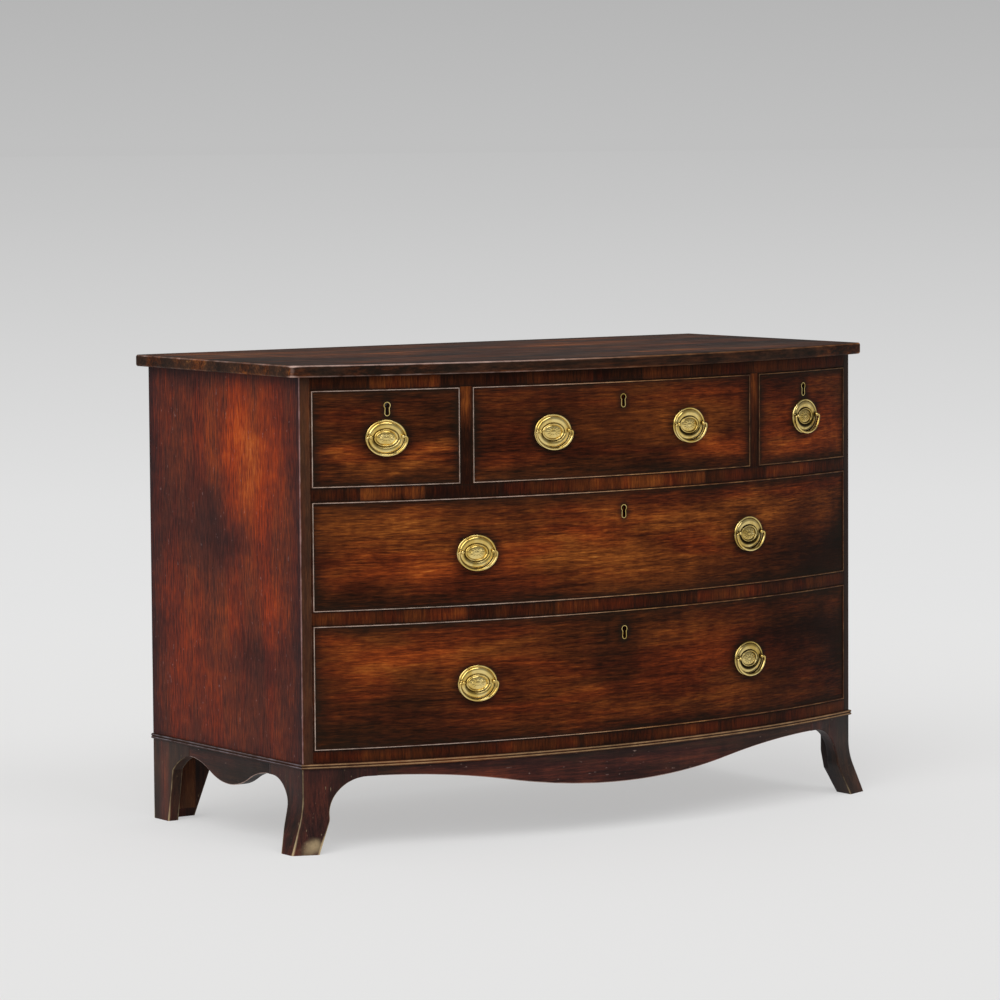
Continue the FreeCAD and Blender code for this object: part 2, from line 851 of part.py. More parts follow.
# ---------------------------------------------------------------- drawers
def bead_keep(x0, x1, z0, z1, upright_at_left):
    """The two mitred trapezia of a bead frame: the lower level one and the left upright one."""
    far_y = corner_y - bow_rise - foot_reach
    t = bead_thickness
    if upright_at_left:
        corners = [(x0, z0), (x0, z1), (x0 + t, z1 - t), (x0 + t, z0 + t)]
    else:
        corners = [(x0, z0), (x1, z0), (x1 - t, z0 + t), (x0 + t, z0 + t)]
    points = [Vec(x, far_y, z) for x, z in corners]
    return prism(polyline(points + points[:1]), Vec(0, bow_rise + 2 * foot_reach, 0))


def flipped(shape, x0, x1, z0, z1):
    """A keep-shape turned half round in the frame's own plane, for the opposite strip."""
    turned = shape.copy()
    turned.rotate(Vec((x0 + x1) / 2, 0, (z0 + z1) / 2), Vec(0, 1, 0), 180)
    return turned


def level_bead(x0, x1, z):
    """A level bead bent to the bow, its lower edge at z and its nose half round."""
    face_y = bow_axis_y - bow_radius
    flat = bead_stand - bead_thickness / 2
    rear_y = face_y + bead_depth
    points = [Vec(0, rear_y, z + bead_thickness), Vec(0, rear_y, z)]
    points += nose_points(
        lambda out, across: Vec(0, face_y - out, across), flat, bead_stand, z, z + bead_thickness
    )
    return bow_turn(polyline(points + points[:1]), x0 - bead_thickness, x1 + bead_thickness)


def upright_bead(x0, z0, z1):
    """An upright bead with its left side at x0 and its nose half round."""
    x1 = x0 + bead_thickness
    flat = bead_stand - bead_thickness / 2
    seat = bow_radius - bead_depth
    nose = nose_points(
        lambda out, across: Vec(across, bow_y(across, bow_radius + out), z0),
        flat, bead_stand, x0, x1,
    )
    outline = [bow_edge(x0, x1, seat, z0)]
    outline += polyline([Vec(x0, bow_y(x0, seat), z0)] + nose + [Vec(x1, bow_y(x1, seat), z0)])
    return prism(outline, Vec(0, 0, z1 - z0))


def bead_frame(x0, x1, z0, z1):
    """The four mitred strips round a drawer front."""
    level = bead_keep(x0, x1, z0, z1, False)
    upright = bead_keep(x0, x1, z0, z1, True)
    top = level_bead(x0, x1, z1 - bead_thickness)
    return [
        level_bead(x0, x1, z0).common(level),
        top.common(flipped(level, x0, x1, z0, z1)),
        upright_bead(x0, z0, z1).common(upright),
        upright_bead(x1 - bead_thickness, z0, z1).common(flipped(upright, x0, x1, z0, z1)),
    ]


def rebated_front(x0, x1, z0, z1):
    """A drawer front bent to the bow, with a rebate round its face for the bead."""
    seat = bow_radius - bead_depth
    t = bead_thickness
    back = bow_panel(x0, x1, seat, bow_radius - front_thickness, z0, z1)
    face = bow_panel(x0 + t, x1 - t, bow_radius, seat, z0 + t, z1 - t)
    return fused([back, face])


def dovetails(x0, z0, z1):
    """The tails on the front end of a drawer side, from z0 to z1, as separate wedges."""
    inner = bow_radius - front_thickness
    middle = x0 + drawer_side_thickness / 2
    joint_y = bow_y(abs(middle), inner)
    count = max(2, round((z1 - z0) / tail_pitch))
    pitch = (z1 - z0) / count
    spread = math.tan(math.radians(tail_angle))
    reach = tail_length + tail_overrun
    shell = bow_panel(
        x0, x0 + drawer_side_thickness, inner + tail_length, inner, z0, z1
    )
    tails = []
    for i in range(count):
        z = z0 + (i + 0.5) * pitch
        root = tail_root_width / 2 - spread * tail_overrun
        tip = tail_root_width / 2 + spread * reach
        wedge = prism(
            polyline([
                Vec(x0, joint_y + tail_overrun, z - root),
                Vec(x0, joint_y + tail_overrun, z + root),
                Vec(x0, joint_y - reach, z + tip),
                Vec(x0, joint_y - reach, z - tip),
                Vec(x0, joint_y + tail_overrun, z - root),
            ]),
            Vec(drawer_side_thickness, 0, 0),
        )
        tails.append(wedge.common(shell))
    return tails


def keyhole_shape(extra, near, far):
    """A keyhole outline, grown by extra all round, from one depth to another."""
    eye = rod(
        keyhole_eye_radius + extra, Vec(0, near, keyhole_eye_rise), Vec(0, far, keyhole_eye_rise)
    )
    toe = rod(
        keyhole_toe_radius + extra, Vec(0, near, -keyhole_toe_drop), Vec(0, far, -keyhole_toe_drop)
    )
    waist = keyhole_waist + extra
    foot = keyhole_toe_radius + extra
    web = prism(
        polyline([
            Vec(-waist, near, keyhole_eye_rise),
            Vec(waist, near, keyhole_eye_rise),
            Vec(foot, near, -keyhole_toe_drop),
            Vec(-foot, near, -keyhole_toe_drop),
            Vec(-waist, near, keyhole_eye_rise),
        ]),
        Vec(0, far - near, 0),
    )
    return fused([eye, toe, web])


def bolt_shape(play, low, high):
    """The lock's bolt, or its channel when play is given, between two heights."""
    half = bolt_width / 2 + play
    near = lock_skin + bolt_set_in
    return box(-half, half, near - play, near + bolt_thickness + play, low, high)


def lock_shape(play):
    """The lock's case, its top at z = 0, or the pocket for it when play is given."""
    half = lock_width / 2 + play
    deep = front_thickness + (lock_skin if play else 0)
    return box(-half, half, lock_skin - play, deep, -lock_height - play, lock_skin if play else 0)


def make_lock(name, x, z_top, key_drop):
    """A drawer's lock with its key pin, and the bolt that rises out of it."""
    case = lock_shape(0)
    case = case.cut(bolt_shape(bolt_play, -bolt_length - bolt_sink - bolt_play, lock_skin))
    socket = keyhole_shape(0, lock_skin - 1, lock_skin + key_socket_depth)
    socket.translate(Vec(0, 0, -key_drop))
    pin_z = keyhole_eye_rise - key_drop
    pin = rod(
        key_pin_radius, Vec(0, lock_skin, pin_z), Vec(0, lock_skin + key_socket_depth, pin_z)
    )
    bolt = bolt_shape(0, -bolt_length - bolt_sink, -bolt_sink)
    case = case.cut(socket.cut(bolt_shape(bolt_play, -bolt_length - bolt_sink, 0)))
    case = case.fuse(pin.cut(bolt_shape(bolt_play, -bolt_length - bolt_sink, 0)))
    add(name + "_lock", [on_bow(case, x, z_top)])
    add(name + "_bolt", [on_bow(bolt, x, z_top)])


def make_plate():
    """A stamped oval back plate: round rim, sunk field, raised ring and a domed boss."""
    edge = plate_height / 2
    rim_in = edge - plate_rim_width
    ring_in = plate_ring_radius - plate_ring_width / 2
    ring_out = plate_ring_radius + plate_ring_width / 2
    field = -plate_field_stand

    def point(radius, y):
        return Vec(radius, y, 0)

    outline = [
        arc(
            point(edge, 0), point(edge - plate_rim_width / 2, -plate_rim_stand),
            point(rim_in, field),
        ),
        Part.makeLine(point(rim_in, field), point(ring_out, field)),
        arc(point(ring_out, field), point(plate_ring_radius, -plate_ring_stand),
            point(ring_in, field)),
    ]
    outline += polyline([
        point(ring_in, field),
        point(0, field),
        point(0, -plate_hollow_depth),
        point(rim_in, -plate_hollow_depth),
        point(rim_in, 0),
        point(edge, 0),
    ])
    disc = Part.Face(Part.Wire(Part.__sortEdges__(outline))).revolve(
        Vec(0, 0, 0), Vec(0, 1, 0), 360
    )
    stretch = FreeCAD.Matrix()
    stretch.scale(plate_stretch, 1, 1)
    disc = disc.transformGeometry(stretch)
    boss = dome(boss_height / 2, boss_stand, field)
    hollow = dome(boss_height / 2 - boss_wall, boss_stand - boss_wall, -plate_hollow_depth)
    plate = disc.fuse(boss).cut(hollow)
    for x in (-post_spacing / 2, post_spacing / 2):
        middle = Vec(x, 0, post_lift)
        outwards = Vec(0, -1, 0)
        hole = rod(post_shank_radius + pin_play, middle, middle + outwards * pivot_stand)
        seat = rod(
            post_collar_radius + pin_play,
            middle + outwards * plate_field_stand, middle + outwards * pivot_stand,
        )
        plate = cut_all(plate, [hole, seat])
    return plate


def dome(radius, stand, base_y):
    """A low oval dome, from base_y out to its stand, as wide as the boss is stretched."""
    outline = [
        arc(
            Vec(0, -stand, 0),
            Vec(radius * 0.62, base_y - (stand + base_y) * 0.76, 0),
            Vec(radius, base_y, 0),
        )
    ]
    outline += polyline([Vec(radius, base_y, 0), Vec(0, base_y, 0), Vec(0, -stand, 0)])
    solid = Part.Face(Part.Wire(Part.__sortEdges__(outline))).revolve(
        Vec(0, 0, 0), Vec(0, 1, 0), 360
    )
    stretch = FreeCAD.Matrix()
    stretch.scale(boss_stretch, 1, 1)
    return solid.transformGeometry(stretch)


def make_post(x):
    """A turned post through the drawer front, with a cross-bored ball for the bail's pin."""
    z = post_lift
    shank = rod(post_shank_radius, Vec(x, front_thickness + shank_end, z), Vec(x, 0, z))
    collar = rod(
        post_collar_radius, Vec(x, -plate_field_stand, z), Vec(x, -post_collar_stand, z)
    )
    neck = rod(post_neck_radius, Vec(x, 0, z), Vec(x, -pivot_stand, z))
    ball = Part.makeSphere(post_ball_radius, Vec(x, -pivot_stand, z))
    bore = rod(
        pin_radius + pin_play,
        Vec(x - post_collar_radius, -pivot_stand, z), Vec(x + post_collar_radius, -pivot_stand, z),
    )
    return fused([shank, neck, collar, ball]).cut(bore)


def make_nut(x):
    """A square nut on a post's shank, in its pocket on the inside of the drawer front."""
    half = nut_width / 2
    low = front_thickness - nut_pocket_depth
    nut = box(x - half, x + half, low, low + nut_thickness, post_lift - half, post_lift + half)
    hole = rod(
        post_shank_radius + pin_play,
        Vec(x, low - 1, post_lift), Vec(x, low + nut_thickness + 1, post_lift),
    )
    return nut.cut(hole)


def make_bail():
    """The hanging bail: an oval wire whose turned-in ends are pins in the two posts."""
    y = -pivot_stand
    z = post_lift
    pin_end = post_spacing / 2 - post_ball_radius
    turn_x = post_spacing / 2 + post_ball_radius + bail_shoulder
    half = turn_x + bail_bend_radius
    drop = bail_bend_radius
    diagonal = bail_bend_radius * math.sqrt(0.5)
    oval = Part.Ellipse(
        Vec(half, y, z - drop), Vec(0, y, z - bail_drop), Vec(0, y, z - drop)
    )
    left = Vec(-half, y, z - drop)
    right = Vec(half, y, z - drop)
    bottom = Part.Arc(oval, oval.parameter(left), oval.parameter(right)).toShape()
    if bottom.BoundBox.ZMin > z - bail_drop + 1:
        bottom = Part.Arc(oval, oval.parameter(right), oval.parameter(left)).toShape()
    bends = []
    for side in (-1, 1):
        bends.append(arc(
            Vec(side * turn_x, y, z),
            Vec(side * (turn_x + diagonal), y, z - drop + diagonal),
            Vec(side * half, y, z - drop),
        ))
    path = Part.Wire(Part.__sortEdges__([bends[0], bottom, bends[1]]))
    start = Vec(-turn_x, y, z)
    section = Part.Wire(Part.Circle(start, Vec(1, 0, 0), bail_wire_radius).toShape())
    wire = path.makePipeShell([section], True, True)
    pins = [
        rod(pin_radius, Vec(side * pin_end, y, z), Vec(side * turn_x, y, z)) for side in (-1, 1)
    ]
    return fused([wire, pins[0], pins[1]])


def make_drawer(name, x0, x1, z0, z1, handle_places, handle_drop, key_drop):
    """One drawer in the opening x0..x1, z0..z1: front, box, bead, brasses, lock and bails."""
    middle = (x0 + x1) / 2
    left = x0 + front_gap
    right = x1 - front_gap
    low = z0 + front_gap
    high = z1 - front_gap
    inner = bow_radius - front_thickness
    rear_y = back_inner_y - drawer_rear_gap
    side_low = z0 + runner_gap
    side_high = high - drawer_side_drop
    bottom_low = z0 + drawer_bottom_rise
    bottom_high = bottom_low + drawer_bottom_thickness

    groove = drawer_groove_depth
    side_places = (left, right - drawer_side_thickness)
    bottom = bow_board(
        left + drawer_side_thickness - groove, right - drawer_side_thickness + groove,
        rear_y, bottom_low, bottom_high, inner + groove,
    )
    sides = []
    tails = []
    for x in side_places:
        board = bow_board(x, x + drawer_side_thickness, rear_y, side_low, side_high, inner)
        own_tails = dovetails(x, low + bead_thickness, side_high)
        tails += own_tails
        sides.append(fused([board] + own_tails).cut(bottom))
    back = box(
        left + drawer_side_thickness, right - drawer_side_thickness,
        rear_y - drawer_back_thickness, rear_y, bottom_high, side_high - drawer_back_drop,
    )
    add(name + "_box", sides + [back, bottom])

    add(name + "_cockbead", bead_frame(left, right, low, high))

    front = rebated_front(left, right, low, high)
    front = cut_all(front, tails + [bottom])

    key_z = high - key_drop
    pocket = on_bow(lock_shape(lock_play), middle, high)
    seat = keyhole_shape(escutcheon_wall + escutcheon_play, -1, escutcheon_depth)
    hole = keyhole_shape(0, -1, lock_skin + 1)
    front = cut_all(front, [pocket, on_bow(seat, middle, key_z), on_bow(hole, middle, key_z)])
    make_lock(name, middle, high, key_drop)
    ring = keyhole_shape(escutcheon_wall, -escutcheon_stand, escutcheon_depth)
    ring = ring.cut(keyhole_shape(0, -1, escutcheon_depth + 1))
    brasses = [on_bow(ring, middle, key_z)]

    handle_z = (low + high) / 2 - handle_drop
    plate = make_plate()
    bail = make_bail()
    for place, suffix in handle_places:
        handle_x = middle + place
        brasses.append(on_bow(plate, handle_x, handle_z))
        for x in (-post_spacing / 2, post_spacing / 2):
            brasses.append(on_bow(make_post(x), handle_x, handle_z))
            brasses.append(on_bow(make_nut(x), handle_x, handle_z))
            hole = rod(
                post_shank_radius + shank_play,
                Vec(x, -1, post_lift), Vec(x, front_thickness + 1, post_lift),
            )
            half = nut_pocket_width / 2
            pocket = box(
                x - half, x + half, front_thickness - nut_pocket_depth, front_thickness + 1,
                post_lift - half, post_lift + half,
            )
            front = front.cut(on_bow(hole.fuse(pocket), handle_x, handle_z))
        add(name + "_bail" + suffix, [on_bow(bail, handle_x, handle_z)])
    add(name + "_front", [front])
    add(name + "_brasses", brasses)


# ---------------------------------------------------------------- places that several use
short_inner = divider_centre + divider_thickness / 2
centre_half_width = divider_centre - divider_thickness / 2
short_middle = (short_inner + inner_half) / 2
screw_set_in = 20.0


def make_drawers():
    """Three short drawers above two long ones."""
    centre_pair = [(-centre_handle_offset, "_left"), (centre_handle_offset, "_right")]
    long_pair = [(-long_handle_offset, "_left"), (long_handle_offset, "_right")]
    make_drawer(
        "left_drawer", -inner_half, -short_inner, top_row, top_rail,
        [(-short_handle_offset, "")], short_handle_drop, short_key_drop,
    )
    make_drawer(
        "centre_drawer", -centre_half_width, centre_half_width, top_row, top_rail,
        centre_pair, short_handle_drop, short_key_drop,
    )
    make_drawer(
        "right_drawer", short_inner, inner_half, top_row, top_rail,
        [(short_handle_offset, "")], short_handle_drop, short_key_drop,
    )
    make_drawer(
        "middle_drawer", -inner_half, inner_half, middle_row, upper_rail,
        long_pair, middle_handle_drop, middle_key_drop,
    )
    make_drawer(
        "bottom_drawer", -inner_half, inner_half, bottom_row, lower_rail,
        long_pair, bottom_handle_drop, bottom_key_drop,
    )


def main():
    """Makes every node and writes one STEP file for each."""
    make_top()
    make_sides()
    make_back()
    make_rails_and_dust_boards()
    make_top_rails()
    make_bottom()
    make_dividers()
    make_stops()
    make_screws()
    make_front_feet()
    make_rear_feet()
    make_aprons()
    make_base_moulding()
    make_drawers()
    os.makedirs("parts", exist_ok=True)
    for name, solids in nodes.items():
        shape = solids[0] if len(solids) == 1 else Part.makeCompound(solids)
        shape.exportStep("parts/" + name + ".step")
    print(len(nodes), "nodes,", sum(len(solids) for solids in nodes.values()), "solids")


main()
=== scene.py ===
# %% [markdown]
# # A bow front chest of drawers
# The chest is a mahogany carcase on splayed feet, with three short drawers over two long ones.
# Its front is one arc of a large circle, so nearly every visible piece is either bent to that
# arc or set square on it. This file dresses the solids of the chest in their real surfaces:
# bent veneers, cockbeads, mouldings, feet, stamped brasses, and polished wood.

# %% Load the frame
import math

import bmesh
import bpy
import numpy as np
from mathutils import Matrix, Vector


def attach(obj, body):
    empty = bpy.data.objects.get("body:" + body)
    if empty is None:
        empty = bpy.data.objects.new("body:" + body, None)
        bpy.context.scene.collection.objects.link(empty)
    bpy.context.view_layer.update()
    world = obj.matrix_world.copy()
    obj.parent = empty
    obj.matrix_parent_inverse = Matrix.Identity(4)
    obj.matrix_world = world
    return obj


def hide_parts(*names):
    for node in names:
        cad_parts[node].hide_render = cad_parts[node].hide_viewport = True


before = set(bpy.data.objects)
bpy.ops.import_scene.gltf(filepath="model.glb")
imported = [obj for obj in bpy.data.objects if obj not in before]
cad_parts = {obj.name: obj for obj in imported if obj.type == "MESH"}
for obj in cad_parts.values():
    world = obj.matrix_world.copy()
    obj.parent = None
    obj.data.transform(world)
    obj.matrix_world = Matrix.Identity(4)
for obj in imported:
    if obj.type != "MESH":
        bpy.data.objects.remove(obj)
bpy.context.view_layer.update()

# %% [markdown]
# ## Sizes
# All sizes are in millimetres until a mesh is made, as a cabinet maker writes them. The bow is
# an arc that rises 110 mm over a chest 1150 mm wide, and that fixes its radius and its axis.

# %% Sizes of the chest
HALF_WIDTH, INNER_HALF = 575.0, 558.0      # outer and inner face of an end board
CORNER_Y, BACK_Y, BOW_RISE = -185.0, 305.0, 110.0
BOW_RADIUS = (HALF_WIDTH**2 + BOW_RISE**2) / (2 * BOW_RISE)
BOW_AXIS = CORNER_Y - BOW_RISE + BOW_RADIUS
BASE_TOP, CARCASE_TOP, TOTAL_HEIGHT = 148.5, 785.5, 805.5
ROWS = {"top": (602.0, 764.0), "middle": (398.0, 580.5), "bottom": (169.0, 376.5)}
SKIN = 0.2                                 # thickness of a veneer over the solid below it
print("bow radius", round(BOW_RADIUS, 1), "mm, axis at y", round(BOW_AXIS, 1))

# %% [markdown]
# A few helpers do the placing. Coordinates are joined into points, the bow gives y for any x,
# and a small piece such as a handle is turned so that it faces squarely out of the bow.

# %% Places on the bow


def at(*axes):
    """Points from their coordinates; a single number or a short row stretches to fit."""
    return np.stack(np.broadcast_arrays(*axes), -1)


def bow(x, out=0.0):
    """y of the bowed face at x, moved outwards by out: the axis less the circle's height."""
    return BOW_AXIS - np.sqrt((BOW_RADIUS + out) ** 2 - np.asarray(x, float) ** 2)


def on_bow(x, z, out=0.0):
    """Points of the bowed face at x and height z, moved outwards by out."""
    return at(x, bow(x, out), z)


def set_on_bow(points, x, z):
    """Points of a piece's own frame (across, into the wood, up), turned to face out at x, z."""
    turn = math.asin(x / BOW_RADIUS)
    across, into, up = points.T
    return at(x + across * math.cos(turn) - into * math.sin(turn),
              float(bow(x)) + across * math.sin(turn) + into * math.cos(turn), z + up)


print("the front is at y", float(bow(0.0)), "in the middle and", float(bow(HALF_WIDTH)), "at the ends")

# %% [markdown]
# ## Shapes as arrays
# Every surface here is a grid of points worked out by one formula for the whole array. Each
# point can carry marks, numbers that say where the wood is worn or takes a painted highlight,
# where it is grimy or takes painted shade, and where it is warm in colour. The
# finishes read them. Most marks fade by a bell curve, or are sums of such curves.

# %% Marks


def bell(x, middle=0.0, reach=1.0):
    """A bell curve: 1 at the middle and e to the minus 1 at reach from it."""
    return np.exp(-((x - middle) / reach) ** 2)


def halo(far, start, fade):
    """1 out to start, then the falling half of a bell curve."""
    return bell(np.maximum(far - start, 0), 0, fade)


def blobs(x, z, spots):
    """A sum of soft spots (x, z, reach x, reach z, strength), each a bell curve both ways.

    Two slow waves bend the plane first, so no spot comes out round."""
    x, z = x + 14 * np.sin(z / 19 + x / 53), z + 14 * np.sin(x / 27 - z / 47)
    return sum(strength * bell(x, sx, rx) * bell(z, sz, rz)
               for sx, sz, rx, rz, strength in spots)


print("a bell curve at its reach:", round(float(bell(1.0)), 3))

# %% [markdown]
# A shape is points, faces and marks together. Shapes add up, and a closed section carried
# along a path makes most of them.

# %% Shapes


def circle(count):
    """Even angles round a full turn."""
    return np.linspace(0, 2 * np.pi, count, endpoint=False)


def quads_of(rows, cols, wrap_rows=False, wrap_cols=False):
    """Four-sided faces between neighbours of a rows x cols grid of points."""
    r, c = np.arange(rows if wrap_rows else rows - 1)[:, None], np.arange(cols - 1 + wrap_cols)
    r2, c2 = (r + 1) % rows, (c + 1) % cols
    return at(r * cols + c, r * cols + c2, r2 * cols + c2, r2 * cols + c).reshape(-1, 4)


class Shape:
    """Points in millimetres, faces that join them, and marks, one number a point."""

    def __init__(self, points, faces, marks=None, finish=0):
        self.points = np.asarray(points, float).reshape(-1, 3)
        self.faces = [list(map(int, face)) for face in faces]
        self.marks = {key: np.broadcast_to(value, points.shape[:-1]).astype(float).ravel()
                      for key, value in (marks or {}).items()}
        self.finish = [finish] * len(self.faces)

    def __add__(self, other):
        """Both shapes as one: the other's faces count on from this one's points."""
        both = Shape(np.concatenate([self.points, other.points]), [])
        shift = len(self.points)
        both.faces = self.faces + [[i + shift for i in face] for face in other.faces]
        both.finish = self.finish + other.finish
        for key in {*self.marks, *other.marks}:
            both.marks[key] = np.concatenate([
                s.marks.get(key, np.zeros(len(s.points))) for s in (self, other)])
        return both

    def moved(self, change):
        """The same shape with change applied to its array of points."""
        new = Shape(change(self.points), [], self.marks)
        new.faces, new.finish = self.faces, self.finish
        return new

    def middles(self):
        """The middle of each face, from its first four corners."""
        return np.array([self.points[face[:4]].mean(0) for face in self.faces])


def mirrored(shape):
    """The shape on the other side of the chest: x changes sign."""
    return shape.moved(lambda p: p * [-1, 1, 1])


def swept(rings, closed=False, marks=None, finish=0):
    """A closed section carried along a path: rings is stations x points x 3, with end caps."""
    count, around = rings.shape[:2]
    faces = quads_of(count, around, wrap_rows=closed, wrap_cols=True).tolist()
    if not closed:
        faces += [range(around)[::-1], range((count - 1) * around, count * around)]
    return Shape(rings, faces, marks, finish)


print("a grid of 3 x 8 points has", len(quads_of(3, 8)), "faces, and", len(quads_of(3, 8, False, True)),
      "when it closes on itself")

# %% [markdown]
# ## From arrays to a piece
# A piece is one mesh. Doubled points are merged so that seams and poles close, faces are turned
# outwards, and edges sharper than an angle stay crisp while the rest shade smooth. The piece
# then rides on the body that carries it and stands for the plain solids it covers.

# %% Make a piece
made = {}


def make_piece(name, shape, finishes, body="carcase", stands_for=(), crisp=32.0):
    """Puts a shape into the scene in metres, riding on a body, with its finishes."""
    mesh = bpy.data.meshes.new(name)
    mesh.from_pydata((shape.points * 0.001).tolist(), [], shape.faces)
    for key in ("worn", "grime", "warm"):
        values = shape.marks.get(key, np.zeros(len(shape.points)))
        layer = mesh.attributes.new(key, "FLOAT", "POINT")
        layer.data.foreach_set("value", values.astype(np.float32))
    mesh.polygons.foreach_set("material_index", shape.finish)
    work = bmesh.new()
    work.from_mesh(mesh)
    bmesh.ops.remove_doubles(work, verts=work.verts, dist=2e-6)
    bmesh.ops.dissolve_degenerate(work, edges=work.edges, dist=1e-6)
    bmesh.ops.recalc_face_normals(work, faces=work.faces)
    work.to_mesh(mesh)
    work.free()
    for finish in finishes:
        mesh.materials.append(finish)
    mesh.shade_smooth()
    mesh.set_sharp_from_angle(angle=math.radians(crisp))
    piece = bpy.data.objects.new(name, mesh)
    bpy.context.scene.collection.objects.link(piece)
    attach(piece, body)
    if stands_for:
        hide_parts(*stands_for)
    made[name] = len(mesh.polygons)


def make_pair(name, solid, right, left, finishes):
    """A right-hand piece and, mirrored, its left-hand fellow; {} in a name is the side."""
    for side, shape in (("right", right), ("left", mirrored(left))):
        make_piece(name.format(side), shape, finishes, stands_for=(solid.format(side),))


# %% [markdown]
# ## Finishes
# A finish is a small tree of nodes. The class below keeps the making of one short: it adds
# nodes, joins them and ends in one surface. Patterns use Object coordinates, which are metres
# on the chest, so a number such as 40 means forty features in a metre.

# %% A finish in the making


class Finish:
    """A material, or the world, being mixed from nodes."""

    def __init__(self, owner, place="Object"):
        owner.use_nodes = True
        self.owner, self.tree = owner, owner.node_tree
        self.tree.nodes.clear()
        self.place = self.add("ShaderNodeTexCoord").outputs[place]

    def add(self, kind, inputs=None, **settings):
        """A node with its settings, and its inputs set or joined."""
        node = self.tree.nodes.new(kind)
        for key, value in settings.items():
            setattr(node, key, value)
        for key, value in (inputs or {}).items():
            self.put(node.inputs[key], value)
        return node

    def put(self, socket, value):
        """Joins a socket to another one, or sets it to a plain value."""
        if isinstance(value, bpy.types.NodeSocket):
            self.tree.links.new(value, socket)
        else:
            socket.default_value = value

    def math(self, operation, a, b=0.0, c=0.0, clamp=False):
        """One sum on numbers."""
        node = self.add("ShaderNodeMath", {0: a, 1: b, 2: c}, operation=operation, use_clamp=clamp)
        return node.outputs[0]

    def sum(self, *terms):
        """The sum of terms (value, weight, middle): each adds weight times (value - middle)."""
        total = None
        for value, weight, middle in terms:
            part = self.math("MULTIPLY_ADD", value, weight, -weight * middle)
            total = part if total is None else self.math("ADD", total, part)
        return total

    def steps(self, value, low, high):
        """0 below low, 1 above high and a smooth step between."""
        return self.add("ShaderNodeMapRange", {"Value": value, "From Min": low, "From Max": high},
                        interpolation_type="SMOOTHSTEP").outputs["Result"]

    def noise(self, scale, detail=3.0, rough=0.55, twist=0.0, shift=(0.0, 0.0, 0.0)):
        """Cloudy noise around a half; scale is features a metre, at once or for x, y and z."""
        scale = scale if isinstance(scale, tuple) else (scale,) * 3
        stretch = self.add("ShaderNodeMapping", {
            "Vector": self.place, "Scale": scale, "Location": shift})
        return self.add("ShaderNodeTexNoise", {
            "Vector": stretch.outputs[0], "Scale": 1.0, "Detail": detail, "Roughness": rough,
            "Distortion": twist}).outputs["Fac"]

    def mark(self, name):
        """A mark that the mesh carries."""
        return self.add("ShaderNodeAttribute", attribute_name=name).outputs["Fac"]

    def ramp(self, value, stops):
        """A colour for each value: stops are (value, (r, g, b)) with colours 0 to 255."""
        node = self.add("ShaderNodeValToRGB", {"Fac": value})
        band = node.color_ramp
        while len(band.elements) < len(stops):
            band.elements.new(0.5)
        for element, (place, colour) in zip(band.elements, stops):
            element.position, element.color = place, linear(colour)
        return node.outputs["Color"]

    def mix(self, amount, a, b):
        """One colour over another."""
        return self.add("ShaderNodeMix", {0: amount, 6: a, 7: b}, data_type="RGBA").outputs[2]

    def seen(self):
        """1 where the eye, a gloss or a look through glass meets it, 0 for light on its way."""
        ray = self.add("ShaderNodeLightPath").outputs
        seen = self.math("ADD", ray["Is Camera Ray"], ray["Is Glossy Ray"])
        return self.math("ADD", seen, ray["Is Transmission Ray"], clamp=True)

    def end(self, shader, kind="ShaderNodeOutputMaterial"):
        """Ends the tree in one shader's surface."""
        self.put(self.add(kind).inputs["Surface"], shader.outputs[0])
        return self.owner

    def surface(self, colour, roughness, height, depth, strength, **plain):
        """Ends the tree in polish or metal; plain values go to the shader's own sockets."""
        shader = self.add("ShaderNodeBsdfPrincipled", {
            "Base Color": colour, "Roughness": roughness})
        for key, value in plain.items():
            shader.inputs[key.replace("_", " ")].default_value = value
        bump = self.add("ShaderNodeBump", {
            "Height": height, "Distance": depth, "Strength": strength})
        self.put(shader.inputs["Normal"], bump.outputs[0])
        return self.end(shader)


def linear(colour):
    """A colour written as 0 to 255 on a screen, as the linear values that light adds up in."""
    c = np.asarray(colour, float) / 255
    return (*np.where(c <= 0.04045, c / 12.92, ((c + 0.055) / 1.055) ** 2.4), 1.0)


print("a screen's 188 is", round(float(linear((188, 188, 188))[0]), 3), "of full light")

# %% [markdown]
# ## Mahogany
# Old mahogany is built up in layers of scale. Broad clouds of light and dark run with the
# grain, ribbons a centimetre wide lie in them, and fine fibres and short dark pores cover
# everything. A ramp turns the sum into colour, from near black through red brown to orange.
# Two centuries of wax darken the wood round the brasses, the borders are darker, and the edges
# are painted pale, partly rubbed wear and partly painted highlight. One builder makes every
# mahogany finish, so they belong together: each has its own grain direction and its own ramp.

# %% Ramps of the mahogany


def ramp_of(places, *colours):
    """The stops of a ramp: a colour, 0 to 255, at each place."""
    return list(zip(places, colours))


LIVELY, SOBER = (0.0, 0.22, 0.42, 0.58, 0.74, 0.88, 1.0), (0.0, 0.25, 0.5, 0.7, 0.86, 1.0)
FRONT_RED = ramp_of(LIVELY, (12, 6, 4), (34, 13, 7), (74, 29, 13), (110, 46, 18),
                    (146, 66, 24), (180, 92, 34), (206, 124, 58))
FRONT_GOLD = ramp_of(LIVELY, (12, 7, 4), (35, 16, 8), (74, 35, 15), (106, 54, 21),
                     (140, 76, 29), (172, 104, 42), (198, 136, 70))
SIDE_RED = ramp_of(LIVELY, (24, 9, 8), (54, 21, 18), (90, 35, 24), (122, 45, 22),
                   (152, 54, 18), (174, 68, 20), (190, 88, 32))
SIDE_BROWN = ramp_of(LIVELY, (24, 11, 10), (52, 24, 20), (84, 39, 28), (114, 50, 27),
                     (144, 60, 24), (166, 76, 28), (184, 94, 40))
DARK_RED = ramp_of(SOBER, (14, 8, 6), (38, 20, 14), (64, 33, 22), (96, 48, 25),
                   (136, 68, 30), (168, 96, 46))
